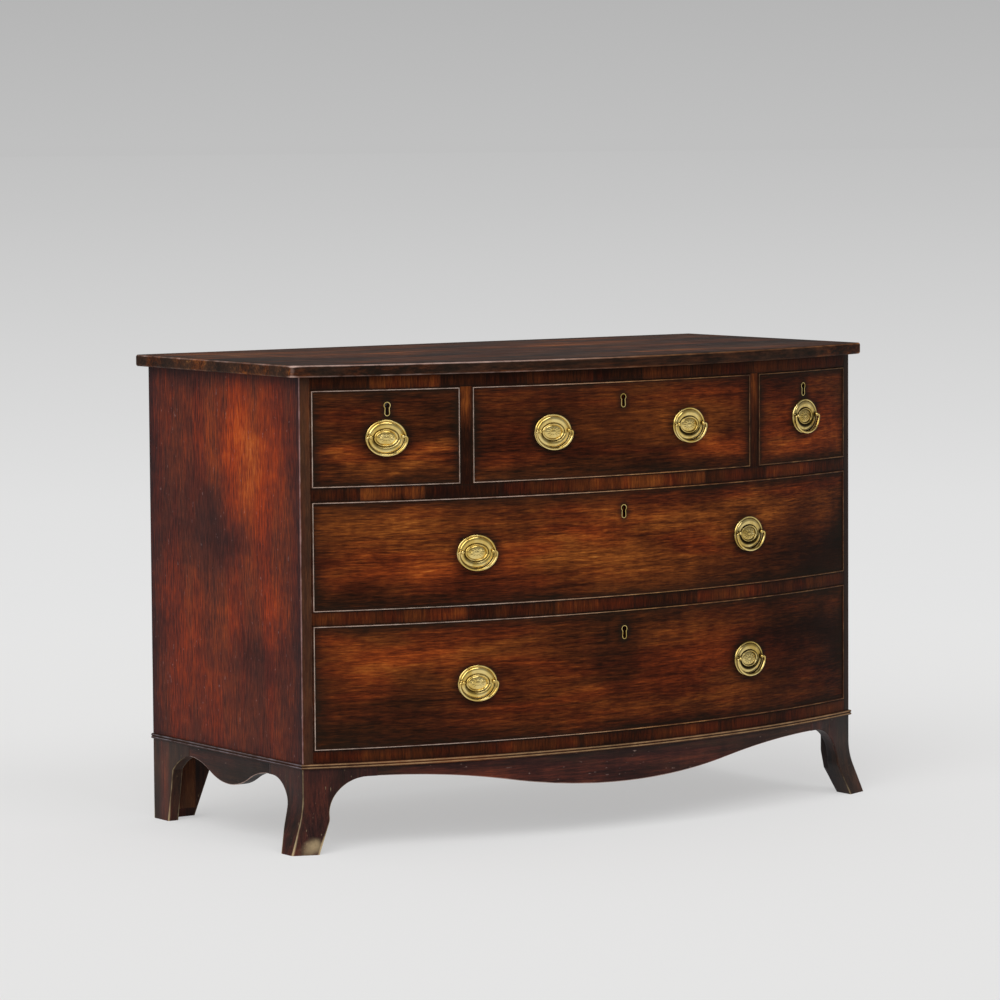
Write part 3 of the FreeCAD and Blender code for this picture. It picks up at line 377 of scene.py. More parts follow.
DARK_BROWN = ramp_of(SOBER, (14, 10, 7), (38, 24, 17), (62, 39, 27), (88, 54, 33),
                     (120, 76, 42), (150, 104, 62))
print("colours in a lively ramp:", len(LIVELY), "and in a sober one:", len(SOBER))

# %% [markdown]
# The builder reads the three marks of the mesh. Grime and painted shade darken, warmth shifts the
# tone and livens the figure, and wear and painted highlight let the pale wood through, all with
# ragged edges from noise.

# %% Mahogany
PORE, PORE_SHARE, DIRT_AND_SHADE_SHARE, RUB_AND_HIGHLIGHT_SHARE = (14, 8, 5), 0.4, 0.72, 0.9
PALE_EAST = -0.3, 0.1          # metres along x over which pale edges, wear and painted highlight, change to pale_right


def grained(grain, along, across):
    """Features a metre for x, y and z: few along the axes that the grain names, more across."""
    return tuple(along if axis in grain else across for axis in "xyz")


def mahogany(name, grain, reds, browns, level=0.5, clouds=1.0, figure=1.0, gloss=0.42,
             sheen=0.06, seed=0.0, width=1.0, ribbons=0.9, streaks=1.1, flecks=0.6, scuffs=0.0,
             pale=(196, 166, 154), pale_right=None, soil_and_shade=(38, 31, 24)):
    """Polished mahogany. grain names the axes that the fibres follow: "z" is upright, and "xy"
    is level on a face that bends from x towards y, as the veneers of the bow do.

    width widens the clouds and ribbons across the grain, a higher level is paler wood, and
    scuffs is how strongly small pale knocks show. Edges marked with wear and painted highlight are
    pale, and towards the right of the chest they turn to pale_right where it is given."""
    f = Finish(bpy.data.materials.new(name))
    shift = (seed, seed * 1.7, seed * 0.6)
    cloud = f.noise(grained(grain, 3.0, 11.0 / width), 4.0, 0.55, 0.5, shift)
    ribbon = f.noise(grained(grain, 2.6, 52.0 / width), 4.0, 0.6, 0.15, shift)
    streak = f.noise(grained(grain, 9.0, 190.0), 4.0, 0.65, 0.0, shift)
    fleck = f.noise(grained(grain, 42.0, 420.0), 2.0, 0.6, 0.0, shift)
    fibre = f.noise(grained(grain, 60.0, 1500.0), 1.0)
    mottle = f.noise(grained(grain, 34.0, 9.0), 2.0, 0.5, 0.5, shift)
    pores = f.noise(grained(grain, 90.0, 1900.0), 1.0, 0.5, 0.0, (3.0, 1.0, 7.0))
    blotch = f.noise(14.0, 4.0, 0.62, 0.2, (5.0, 2.0, 9.0))
    hue = f.noise(grained(grain, 3.0, 16.0), 3.0, 0.55, 0.4, (9.0 + seed, 4.0, 1.0))
    smear, rag = f.noise(26.0, 4.0, 0.65), f.noise(45.0, 4.0)
    grime, warm, worn = f.mark("grime"), f.mark("warm"), f.mark("worn")
    soiled_and_shaded = f.math("MULTIPLY", grime, f.sum((blotch, 1.5, -0.08)), clamp=True)
    lively = f.math("MULTIPLY_ADD", warm, 1.0, figure, clamp=True)
    lines = f.math("MULTIPLY", lively, f.sum(
        (ribbon, ribbons, 0.5), (streak, streaks, 0.5), (fleck, flecks, 0.5), (mottle, 0.35, 0.5)))
    tone = f.math("ADD", f.math("ADD", level, lines), f.sum(
        (cloud, 0.8 * clouds, 0.5), (fibre, 0.25, 0.5), (blotch, 0.2, 0.5), (warm, 1.0, 0.0),
        (soiled_and_shaded, -0.3, 0.0)))
    turn = f.steps(f.sum((hue, 1.0, 0.0), (fleck, 0.25, 0.5)), 0.38, 0.62)
    colour = f.mix(turn, f.ramp(tone, reds), f.ramp(tone, browns))
    in_pores = f.math("MULTIPLY", f.steps(pores, 0.58, 0.66), PORE_SHARE)
    colour = f.mix(in_pores, colour, linear(PORE))
    colour = f.mix(f.math("MULTIPLY", soiled_and_shaded, DIRT_AND_SHADE_SHARE), colour, linear(soil_and_shade))
    pale = linear(pale)
    if pale_right:
        east = f.add("ShaderNodeSeparateXYZ", {"Vector": f.place}).outputs["X"]
        pale = f.mix(f.steps(east, *PALE_EAST), pale, linear(pale_right))
    rub_and_highlight = f.steps(f.sum((worn, 1.0, 0.0), (rag, 0.55, 0.5)), 0.3, 0.95)
    colour = f.mix(f.math("MULTIPLY", rub_and_highlight, RUB_AND_HIGHLIGHT_SHARE), colour, pale)
    if scuffs:
        knock = f.noise(grained(grain, 70.0, 260.0), 2.0, 0.6, 0.0, (1.0, 8.0, 3.0))
        colour = f.mix(f.math("MULTIPLY", f.steps(knock, 0.7, 0.76), scuffs), colour, pale)
    roughness = f.math("ADD", gloss, f.sum(
        (smear, 0.22, 0.5), (streak, 0.08, 0.5), (grime, 0.1, 0.0), (worn, 0.05, 0.0)))
    height = f.sum((fibre, 0.25, 0.5), (pores, -0.45, 0.5), (smear, 0.5, 0.5), (blotch, 1.2, 0.5))
    return f.surface(colour, roughness, height, 0.00025, 0.7, Specular_IOR_Level=sheen)


print("upright fibres, features a metre in x, y and z:", grained("z", 60.0, 1500.0))

# %% [markdown]
# The fronts have the liveliest figure. The ends are redder, the top and the base duller, and
# the beads and the moulding dark with pale edges, partly rubbed wear and partly painted highlight.
# The moulding's sides take a darker copy with grey painted highlights, its front golden ones.

# %% Mahogany finishes
front_wood = mahogany("mahogany_front", "xy", FRONT_RED, FRONT_GOLD, level=0.485, clouds=0.7,
                      seed=2.3, figure=0.5, ribbons=0.75, streaks=0.95, flecks=1.1, sheen=0.025,
                      soil_and_shade=(36, 28, 20))
side_wood = mahogany("mahogany_side", "z", SIDE_RED, SIDE_BROWN, level=0.515, clouds=0.7,
                     width=2.0, ribbons=0.3, streaks=0.5, flecks=1.4, figure=0.6, seed=7.1,
                     sheen=0.05, scuffs=0.45, pale=(170, 132, 128), soil_and_shade=(42, 33, 36))
stile_wood = mahogany("mahogany_stile", "z", DARK_RED, DARK_BROWN, level=0.61, seed=8.8,
                      figure=0.4)
# pale_right turns the pale edges of the slab, wear and painted highlight, browner to the right
top_wood = mahogany("mahogany_top", "x", FRONT_GOLD, DARK_BROWN, level=0.45, seed=4.4, gloss=0.5,
                    sheen=0.05, figure=0.8, pale_right=(140, 96, 62))
base_wood = mahogany("mahogany_base", "xy", SIDE_BROWN, DARK_BROWN, level=0.29, seed=9.2,
                     figure=0.6, clouds=1.2, sheen=0.12, scuffs=0.3, soil_and_shade=(40, 34, 36))
foot_wood = mahogany("mahogany_foot", "z", SIDE_BROWN, DARK_BROWN, level=0.3, seed=5.7,
                     figure=0.55, clouds=1.2, sheen=0.14, scuffs=0.3, pale=(186, 164, 126),
                     soil_and_shade=(40, 35, 38))
cross_wood = mahogany("crossbanding", "z", FRONT_RED, FRONT_GOLD, level=0.35, seed=1.9,
                      figure=0.4, ribbons=0.6, streaks=0.45, flecks=0.9, clouds=0.5, sheen=0.03)
# the pale of the beads is painted highlight as well as wear; pale_right turns it tan on the right
bead_wood = mahogany("cockbead", "xy", DARK_RED, DARK_BROWN, level=0.42, seed=3.3, figure=0.4,
                     pale=(204, 182, 168), pale_right=(212, 158, 100))
# the front and side mouldings are lit and shaded copies of one wood: the side copy is darker, with grey
# painted highlights, the front one has golden ones
reed_wood = mahogany("moulding_wood", "xy", DARK_RED, DARK_BROWN, level=0.5, seed=6.1,
                     figure=0.4, pale=(160, 128, 92))
reed_side_painted_light_wood = mahogany("moulding_wood_side_painted_light", "xy", DARK_RED, DARK_BROWN, level=0.42,
                          seed=6.4, figure=0.4, pale=(150, 144, 154))
print("mahogany finishes made")

# %% [markdown]
# ## Oak, pine, iron and brass
# The drawer linings are oak and the hidden boards pine: the same idea as the mahogany with
# paler ramps and dust in place of polish.

# %% Pale woods


def plain_wood(name, grain, stops, seed, rough=0.62):
    """Unpolished wood: broad bands, fine fibres, a few darker stains and a dry surface."""
    f = Finish(bpy.data.materials.new(name))
    band = f.noise(grained(grain, 2.0, 34.0), 4.0, 0.6, 0.6, (seed, seed, seed))
    fibre = f.noise(grained(grain, 25.0, 700.0), 2.0)
    stain = f.noise(6.0, 4.0, 0.65, 0.3, (seed, 0.0, seed))
    colour = f.ramp(f.sum((band, 0.9, 0.5), (fibre, 0.7, 0.5), (stain, 0.7, -0.2)), stops)
    roughness = f.math("ADD", rough, f.sum((fibre, 0.2, 0.5), (stain, 0.15, 0.5)))
    return f.surface(colour, roughness, fibre, 0.0003, 0.6, Specular_IOR_Level=0.25)


PLAIN = (0.0, 0.4, 0.7, 1.0)
oak = plain_wood("oak", "y", ramp_of(
    PLAIN, (62, 40, 22), (112, 80, 48), (146, 112, 72), (176, 144, 100)), 3.1)
pine = plain_wood("pine", "x", ramp_of(
    PLAIN, (58, 38, 22), (104, 74, 46), (140, 106, 68), (170, 138, 96)), 8.4, 0.7)
print("pale woods:", oak.name, pine.name)

# %% [markdown]
# The locks and screws are iron with spots of rust. The brasses are yellow metal that polishing
# keeps bright where it stands proud, while old polish and tarnish stay dark in the hollows.

# %% Metals


def metal(name, bright, dull, dark, gloss, seed, rust=0.0):
    """Metal with smeared polish: bright on what stands proud, dark where grime or painted shade is
    marked.
    """
    f = Finish(bpy.data.materials.new(name))
    smear = f.noise(45.0, 3.0, 0.55, 0.3, (seed, 0.0, 0.0))
    spot = f.noise(420.0, 3.0, 0.6, 0.0, (0.0, seed, 0.0))
    colour = f.mix(f.steps(smear, 0.35, 0.65), linear(bright), linear(dull))
    soil_and_shade = f.steps(f.sum((f.mark("grime"), 1.0, 0.0), (smear, 0.3, 0.5),
                         (spot, 0.08 + rust, 0.5)), 0.25, 1.0)
    colour = f.mix(soil_and_shade, colour, linear(dark))
    roughness = f.math("ADD", gloss, f.sum((smear, 0.12, 0.5), (soil_and_shade, 0.3, 0.0)))
    return f.surface(colour, roughness, f.sum((smear, 0.6, 0.5), (spot, 0.08, 0.5)),
                     0.0001, 0.35, Metallic=1.0)


brass = metal("brass", (238, 214, 142), (212, 180, 96), (52, 38, 8), 0.14, 2.0)
lock_iron = metal("lock_iron", (132, 126, 118), (104, 96, 88), (58, 42, 32), 0.45, 5.0, 0.6)
iron = metal("iron", (120, 114, 106), (92, 86, 80), (54, 38, 28), 0.5, 6.0, 0.6)
print("finishes:", len(bpy.data.materials))

# %% [markdown]
# ## Stations
# A curved face needs points close together where it bends or where a mark changes quickly, and
# few elsewhere. These helpers give such rows of numbers.

# %% Rows of stations


def stations(low, high, step, edge=(0.0, 1.0, 3.0, 7.0)):
    """Numbers from low to high about step apart, with extra ones close to both ends."""
    row = np.linspace(low, high, max(2, int(round((high - low) / step)) + 1))
    near = np.asarray(edge)
    clear = near[-1] + step * 0.3
    row = row[(row > low + clear) & (row < high - clear)]
    return np.unique(np.round(np.concatenate([low + near, row, high - near]), 5))


def with_window(row, middle, reach, cells):
    """The row with its numbers near middle swapped for even cells across a window."""
    keep = row[np.abs(row - middle) > reach * 1.25]
    return np.sort(np.concatenate([keep, middle + np.linspace(-reach, reach, cells + 1)]))


print("stations along a rail:", len(stations(-INNER_HALF, INNER_HALF, 9.0)))

# %% [markdown]
# ## The keyhole
# A keyhole is an eye for the key's shank over a slot for its bit. The brass thread escutcheon
# that lines it has the same outline a little larger. Both come from one function, which gives
# the outline's reach in any direction, so a sheet of veneer can be opened round it.

# %% Keyhole outline
EYE_RADIUS, EYE_RISE, TOE_RADIUS, TOE_DROP, WAIST = 4.6, 5.9, 3.4, 7.1, 2.6
KEY_SHIFT = 0.5                # the outline is measured from a point this far below its origin
ESCUTCHEON_WALL = 1.5


def keyhole(extra, angles):
    """The outline grown by extra, at some angles: arc of the eye, waist, arc of the toe."""
    eye, toe, waist = EYE_RADIUS + extra, TOE_RADIUS + extra, WAIST + extra
    drop = np.linspace(0, eye, 400)
    slope = (toe - waist) / (EYE_RISE + TOE_DROP)
    fall = drop[np.argmax(np.hypot(waist + slope * drop, drop) >= eye)]
    start = -math.asin(min(1.0, fall / eye))
    turn = np.linspace(start, math.pi - start, 240)
    eye_arc = at(eye * np.cos(turn), EYE_RISE + eye * np.sin(turn))
    turn = np.linspace(math.pi, 2 * math.pi, 120)
    toe_arc = at(toe * np.cos(turn), -TOE_DROP + toe * np.sin(turn))
    line = np.concatenate([eye_arc, toe_arc, eye_arc[:1]])
    run = np.concatenate([[0], np.cumsum(np.hypot(*np.diff(line, axis=0).T))])
    even = np.linspace(0, run[-1], 800, endpoint=False)
    x, z = (np.interp(even, run, axis) for axis in line.T)
    turn = np.unwrap(np.arctan2(z + KEY_SHIFT, x)) % (2 * math.pi)
    order = np.argsort(turn)
    reach = np.interp(angles % (2 * math.pi), turn[order], np.hypot(x, z + KEY_SHIFT)[order],
                      period=2 * math.pi)
    return at(reach * np.cos(angles), reach * np.sin(angles) - KEY_SHIFT)


print("keyhole height", round(float(np.ptp(keyhole(0.0, circle(64))[:, 1])), 2), "mm")

# %% [markdown]
# ## Veneers
# The drawer fronts and rails are faced with veneer bent to the bow. A veneer is a sheet: a grid
# over x and z whose y comes from the bow. Where a keyhole goes through, the grid leaves a
# window, and rings of points lead from the window to the keyhole's outline.

# %% A bent sheet
WINDOW = 9.0, 15.0             # half width and half height of the window round a keyhole


def opened(flat, quads, xs, zs, middle):
    """The grid with its window open and filled up to the outline of a keyhole at middle."""
    inside = (np.abs(flat[quads].mean(1) - middle) < WINDOW).all(1)
    (i0, i1), (j0, j1) = (
        np.flatnonzero(np.abs(row - place) < half + 0.01)[[0, -1]]
        for row, place, half in zip((xs, zs), middle, WINDOW))
    rim = ([(i, j0) for i in range(i0, i1)] + [(i1, j) for j in range(j0, j1)]
           + [(i, j1) for i in range(i1, i0, -1)] + [(i0, j) for j in range(j1, j0, -1)])
    rim = np.array([i * len(zs) + j for i, j in rim])
    across, up = (flat[rim] - middle).T
    hole = keyhole(ESCUTCHEON_WALL + 0.05, np.arctan2(up + KEY_SHIFT, across)) + middle
    halfway = hole + (flat[rim] - hole) * 0.4
    one = len(flat) + np.arange(len(rim))
    rows = [np.concatenate([row, row[:1]]) for row in (rim, one, one + len(rim))]
    rings = [at(a[:-1], a[1:], b[1:], b[:-1]) for a, b in zip(rows, rows[1:])]
    return np.concatenate([flat, halfway, hole]), np.concatenate([quads[~inside], *rings])


def bent_sheet(xs, zs, marks_at, key=None):
    """A closed sheet on the bow over the stations xs and zs; marks_at(x, z) gives its marks.

    A wall joins its face to its back along each edge that only one quad uses."""
    flat, quads = at(xs[:, None], zs).reshape(-1, 2), quads_of(len(xs), len(zs))
    if key:
        flat, quads = opened(flat, quads, xs, zs, key)
    count = len(flat)
    edges = np.concatenate([quads[:, [i, (i + 1) % 4]] for i in range(4)])
    low, high = np.sort(edges, 1).T
    _, which, times = np.unique(low * count + high, return_inverse=True, return_counts=True)
    a, b = edges[times[which] == 1].T
    faces = np.concatenate([quads, quads[:, ::-1] + count, at(b, a, a + count, b + count)])
    x, z = flat.T
    marks = {name: np.tile(values, 2) for name, values in marks_at(x, z).items()}
    return Shape(np.concatenate([on_bow(x, z, SKIN), on_bow(x, z)]), faces, marks)


trial = bent_sheet(np.arange(3.0), np.arange(3.0), lambda x, z: {})
print("a sheet of 3 x 3 points:", len(trial.points), "points,", len(trial.faces), "faces")

# %% [markdown]
# ## Drawers
# Each drawer is described by one row: its opening, its handles and where its keyhole is. The
# loops below read these rows.

# %% The five drawers
SHORT_INNER, CENTRE_HALF = 310.75, 290.25
FRONT_GAP, BEAD = 0.8, 3.0
SHORT, LONG = (32.8, 0.0), {"_left": -284.0, "_right": 284.0}
OPENINGS = {
    # from x to x, row, handles from its middle, keyhole below its top, handles below its middle
    "left_drawer": (-INNER_HALF, -SHORT_INNER, "top", {"": -2.5}, *SHORT),
    "centre_drawer": (-CENTRE_HALF, CENTRE_HALF, "top", {"_left": -141.5, "_right": 141.5},
                      *SHORT),
    "right_drawer": (SHORT_INNER, INNER_HALF, "top", {"": 2.5}, *SHORT),
    "middle_drawer": (-INNER_HALF, INNER_HALF, "middle", LONG, 36.7, 1.7),
    "bottom_drawer": (-INNER_HALF, INNER_HALF, "bottom", LONG, 38.2, 2.7),
}
DRAWERS = {}
for name, (x0, x1, row, handles, key_drop, handle_drop) in OPENINGS.items():
    z0, z1 = ROWS[row]
    DRAWERS[name] = dict(
        edges=(x0 + FRONT_GAP, x1 - FRONT_GAP, z0 + FRONT_GAP, z1 - FRONT_GAP),
        middle=(x0 + x1) / 2, key_z=z1 - FRONT_GAP - key_drop,
        handles=handles, handle_z=(z0 + z1) / 2 - handle_drop)
    print(name, "handles at z", DRAWERS[name]["handle_z"],
          "keyhole at z", round(DRAWERS[name]["key_z"], 1))

# %% [markdown]
# The figure of each veneer is a list of soft spots in millimetres: x, z, reach along, reach up
# and strength, which is warm above 0 and dark below it. The spots where the polish has gone
# dull are written the same way.

# %% Figure of the fronts
FIGURE = {
    "left_drawer": [
        (-518, 652, 60, 12, 0.26), (-352, 655, 50, 16, 0.25), (-430, 632, 120, 9, 0.2),
        (-500, 715, 60, 18, 0.03), (-436, 690, 70, 30, -0.12), (-360, 730, 50, 20, -0.1)],
    "centre_drawer": [
        (-240, 640, 80, 20, 0.14), (60, 650, 90, 24, -0.12), (215, 640, 80, 20, 0.18),
        (-60, 710, 120, 30, -0.16), (-100, 660, 120, 30, -0.1), (170, 720, 70, 16, 0.02)],
    "right_drawer": [(430, 640, 90, 12, 0.1), (434, 720, 80, 26, -0.14)],
    "middle_drawer": [
        (-430, 510, 140, 50, 0.19), (-80, 490, 190, 60, 0.1), (330, 540, 180, 22, 0.15),
        (480, 440, 170, 70, -0.26), (-480, 415, 100, 20, -0.08), (140, 500, 160, 60, 0.07)],
    "bottom_drawer": [
        (-400, 315, 130, 36, 0.08), (-190, 275, 150, 30, 0.02), (60, 320, 120, 30, 0.02),
        (440, 290, 180, 80, -0.27), (-40, 200, 120, 24, 0.02), (-10, 290, 60, 50, -0.08),
        (-440, 215, 130, 50, -0.08)],
}
DULL_SPOTS = [(-430, 230, 150, 60, 0.34), (-20, 300, 70, 60, 0.25), (-540, 680, 30, 60, 0.2),
              (-250, 470, 60, 50, 0.2), (520, 430, 60, 120, 0.15)]
print("spots:", {name: len(spots) for name, spots in FIGURE.items()})

# %% [markdown]
# The veneer of a drawer front sits inside the cockbead. It darkens along its border, and grime
# gathers in a halo round each handle plate and the keyhole, where a polishing cloth doesn't reach.

# %% Drawer veneers
PLATE_STRETCH = 1.18           # how much wider than tall a handle plate is


def drawer_veneer(name, edges, middle, key_z, handles, handle_z):
    """The bent face of one drawer, marked with its border, its halos and its figure."""
    x0, x1, z0, z1 = np.add(edges, (BEAD, -BEAD, BEAD, -BEAD))

    def marks_at(x, z):
        """Darkening that falls off from the border, grime round the plates and the keyhole, and the
        figure.
        """
        border = np.minimum.reduce([x - x0, x1 - x, z - z0, z1 - z])
        grime = 0.5 * np.exp(-border / 7.0) + 0.42 * np.exp(-border / 28.0)
        for place in handles.values():
            far = np.hypot((x - middle - place) / PLATE_STRETCH, z - handle_z)
            grime += 0.62 * halo(far, 28.0, 9.0)
        grime += 0.55 * halo(np.hypot(x - middle, (z - key_z) / 1.6), 6.0, 6.0)
        grime += blobs(x, z, DULL_SPOTS)
        return {"grime": np.clip(grime, 0, 1), "warm": blobs(x, z, FIGURE[name])}

    xs = with_window(stations(x0, x1, 6.0), middle, WINDOW[0], 12)
    zs = with_window(stations(z0, z1, 6.0), key_z, WINDOW[1], 16)
    return bent_sheet(xs, zs, marks_at, (middle, key_z))


for name, row in DRAWERS.items():
    make_piece(name + "_veneer", drawer_veneer(name, **row), [front_wood], name)
print("veneers:", {k: v for k, v in made.items() if "veneer" in k})

# %% [markdown]
# ## Cockbeads
# A cockbead is a slip of wood 3 mm thick let in round the drawer front, with a rounded nose
# that stands 1.8 mm proud and takes the knocks. Its section is carried round the rectangle:
# a point of the section at distance a from the outer edge follows a rectangle inset by a, which
# mitres the corners by itself.

# %% A bead round a rectangle
BEAD_DEPTH, NOSE, NOSE_OUT = 7.9, BEAD / 2, 0.3


def ring_path(x0, x1, z0, z1, inset, step=12.0):
    """Stations round a rectangle, the same count for any inset: bottom, right, top, left."""
    t, s = (np.concatenate([[0.0, 0.0015], np.linspace(near, 1 - near, int(run / step) + 2),
                            [0.9985]]) for run, near in ((x1 - x0, 0.01), (z1 - z0, 0.02)))
    left, right, low, high = x0 + inset, x1 - inset, z0 + inset, z1 - inset
    sides = [at(left + (right - left) * t, low), at(right, low + (high - low) * s),
             at(right - (right - left) * t, high), at(left, high - (high - low) * s)]
    return np.concatenate(sides).T


def bead_frame(*edges):
    """The cockbead of one drawer: flat sides, a half-round nose, mitred corners."""
    nose, flat = np.linspace(0, np.pi, 9), np.zeros(2)
    insets = np.concatenate([flat, NOSE - NOSE * np.cos(nose), flat + BEAD])
    outs = np.concatenate([
        [-BEAD_DEPTH, -2.0], NOSE_OUT + NOSE * np.sin(nose), [-2.0, -BEAD_DEPTH]])
    rings = []
    for inset, out in zip(insets, outs):
        x, z = ring_path(*edges, inset)
        rings.append(on_bow(x, z, out))
    rings = np.stack(rings, 1)
    # the nose carries a painted highlight as well as wear, brightest at the left end, towards the light
    lit_share = 0.74 - 0.22 * np.clip((rings[..., 0] + 100) / 400, 0, 1)
    worn = np.concatenate([flat, np.sin(nose) ** 4, flat])
    return swept(rings, closed=True, marks={"worn": worn * lit_share})


for name, row in DRAWERS.items():
    make_piece(name + "_bead", bead_frame(*row["edges"]), [bead_wood], name,
               (name + "_cockbead",))
print("beads:", {k: v for k, v in made.items() if k.endswith("bead")})

# %% [markdown]
# ## Crossbanded rails and uprights
# The rails are faced with short pieces of veneer whose grain stands upright, butted side by
# side. Each piece came from another leaf, so the tone jumps at the joints. The joints are listed,
# and the stations of the grid fall on both sides of each, so the jump is sharp.

# %% Rails
RAIL_TONES = {
    # z low, z high, joints along x, and the tone of each length between them
    "top_rail": (764.0, 785.5, [-464, -344, -190, -60, 40, 150, 300, 420],
                 [-0.07, 0.13, -0.08, -0.04, -0.09, 0.05, -0.06, 0.07, -0.05]),
    "upper_rail": (580.5, 602.0, [-480, -372, -240, -70, 180, 330, 450],
                   [-0.04, 0.17, -0.05, 0.02, 0.14, -0.02, 0.08, -0.04]),
    "lower_rail": (376.5, 398.0, [-420, -300, -140, 20, 160, 320, 440],
                   [0.04, 0.1, -0.04, 0.05, -0.04, 0.07, -0.03, 0.02]),
    "bottom_rail": (148.5, 169.0, [-400, -250, -90, 60, 210, 380],
                    [0.02, -0.04, 0.05, -0.02, 0.04, -0.04, 0.02]),
}
SEAM = 0.5                     # reach of the grime in a joint


def rail_veneer(z0, z1, joints, tones):
    """A bent strip of upright-grained veneer whose tone jumps at each joint."""
    joints = np.array(joints, float)

    def marks_at(x, z):
        """Darkening along the border, grime in the joints, and the tone of the length x falls in."""
        border = np.minimum(z - z0, z1 - z)
        seam = bell(np.min(np.abs(x[:, None] - joints), 1), 0, SEAM)
        return {"grime": 0.5 * np.exp(-border / 2.5) + 0.3 * seam,
                "warm": np.array(tones)[np.searchsorted(joints, x)]}

    xs = np.sort(np.concatenate([
        stations(-INNER_HALF, INNER_HALF, 9.0), joints - SEAM / 2, joints + SEAM / 2]))
    zs = np.array([z0, z0 + 0.8, z0 + 3, (z0 + z1) / 2, z1 - 3, z1 - 0.8, z1])
    return bent_sheet(xs, zs, marks_at)


for name, row in RAIL_TONES.items():
    make_piece(name + "_banding", rail_veneer(*row), [cross_wood])
print("rails:", {name: len(row[3]) for name, row in RAIL_TONES.items()}, "lengths of veneer")

# %% [markdown]
# The two uprights between the short drawers are faced in the same way, without joints.

# %% Uprights
UPRIGHT_X, UPRIGHT_HALF, UPRIGHT_Z = 300.5, 10.25, (602.2, 763.8)


def upright_veneer(middle, glow):
    """The facing of an upright between two short drawers: warm above by glow, dark below."""

    def marks_at(x, z):
        """Darkening along the border, and a glow that sets in with height."""
        border = UPRIGHT_HALF - np.abs(x - middle)
        return {"grime": 0.5 * np.exp(-border / 2.5),
                "warm": glow * np.clip((z - 690) / 45, 0, 1) - 0.08}

    xs = stations(middle - UPRIGHT_HALF, middle + UPRIGHT_HALF, 4.0, (0.0, 0.8, 2.5))
    return bent_sheet(xs, np.linspace(*UPRIGHT_Z, 40), marks_at)


for side, middle, glow in (("left", -UPRIGHT_X, 0.26), ("right", UPRIGHT_X, 0.16)):
    make_piece("upright_banding_" + side, upright_veneer(middle, glow),
               [cross_wood])
print("bandings:", {k: v for k, v in made.items() if "banding" in k})

# %% [markdown]
# ## Plans carried up
# The end boards and the feet are polygons in plan, carried up. Every corner of the polygon is
# eased: it becomes a small arc with a mark of wear and painted highlight, and a point a little
# way off on each side where the mark fades out.

# %% Eased polygons


def eased(corners, radius):
    """Each corner of rings of plan points, n x k x 2, swapped for five points and their wear and
    highlight.

    The arc's ends lie radius away from the corner along both sides, its middle 0.29 radius
    in, and two more points 3.5 radius away carry the end of the mark of wear and highlight."""
    arms = []
    for step in (1, -1):
        arm = np.roll(corners, step, 1) - corners
        length = np.linalg.norm(arm, axis=-1, keepdims=True)
        arms.append(arm / np.maximum(length, 1e-9) * np.minimum(radius, 0.12 * length))
    back, on = arms
    ring = np.stack([corners + 3.5 * back, corners + back, corners + 0.29 * (back + on),
                     corners + on, corners + 3.5 * on], 2)
    n, k = corners.shape[:2]
    return ring.reshape(n, k * 5, 2), np.tile([0.0, 0.75, 1.0, 0.75, 0.0], (n, k))


def slipped_in(ring, worn, place, extra):
    """Rings and their wear and highlight with extra plan points slipped in at a place, without either.
    """
    extra = np.broadcast_to(extra, (len(ring), *extra.shape[-2:]))
    return (np.concatenate([ring[:, :place], extra, ring[:, place:]], 1),
            np.concatenate([worn[:, :place], np.zeros(extra.shape[:2]), worn[:, place:]], 1))


def risen(plans, heights):
    """Plan rings at their heights, as points in space."""
    return at(plans[..., 0], plans[..., 1], np.asarray(heights, float)[:, None])


print("a square, eased, has", eased(np.array([[(0, 0), (9, 0), (9, 9), (0, 9)]]), 1.0)[0].shape[1],
      "points")

# %% [markdown]
# ## End boards
# Each end is a board 17 mm thick with upright grain. Its front edge follows the bow, and its
# rear inner edge is rebated for the back boards. The narrow face that shows beside the drawers
# is the stile, in its own darker finish.

# %% End boards
REBATE, BACK_INNER, END_EASE = 9.0, 295.0, 1.1
# spots of the outer face: y, z, reach along y, reach up, strength
SIDE_FIGURE = [
    (5, 665, 90, 95, 0.27), (-40, 580, 40, 90, 0.14), (150, 690, 70, 60, 0.06),
    (150, 560, 70, 60, -0.12), (90, 500, 70, 60, -0.14), (-85, 415, 60, 60, 0.12),
    (60, 400, 50, 60, 0.07), (235, 340, 45, 120, 0.05), (-150, 340, 30, 60, 0.06),
    (-60, 300, 110, 60, -0.12), (-50, 215, 120, 40, -0.08)]
SIDE_DULL = [(95, 520, 75, 90, 0.36), (-75, 290, 90, 60, 0.16), (230, 500, 40, 200, 0.15)]


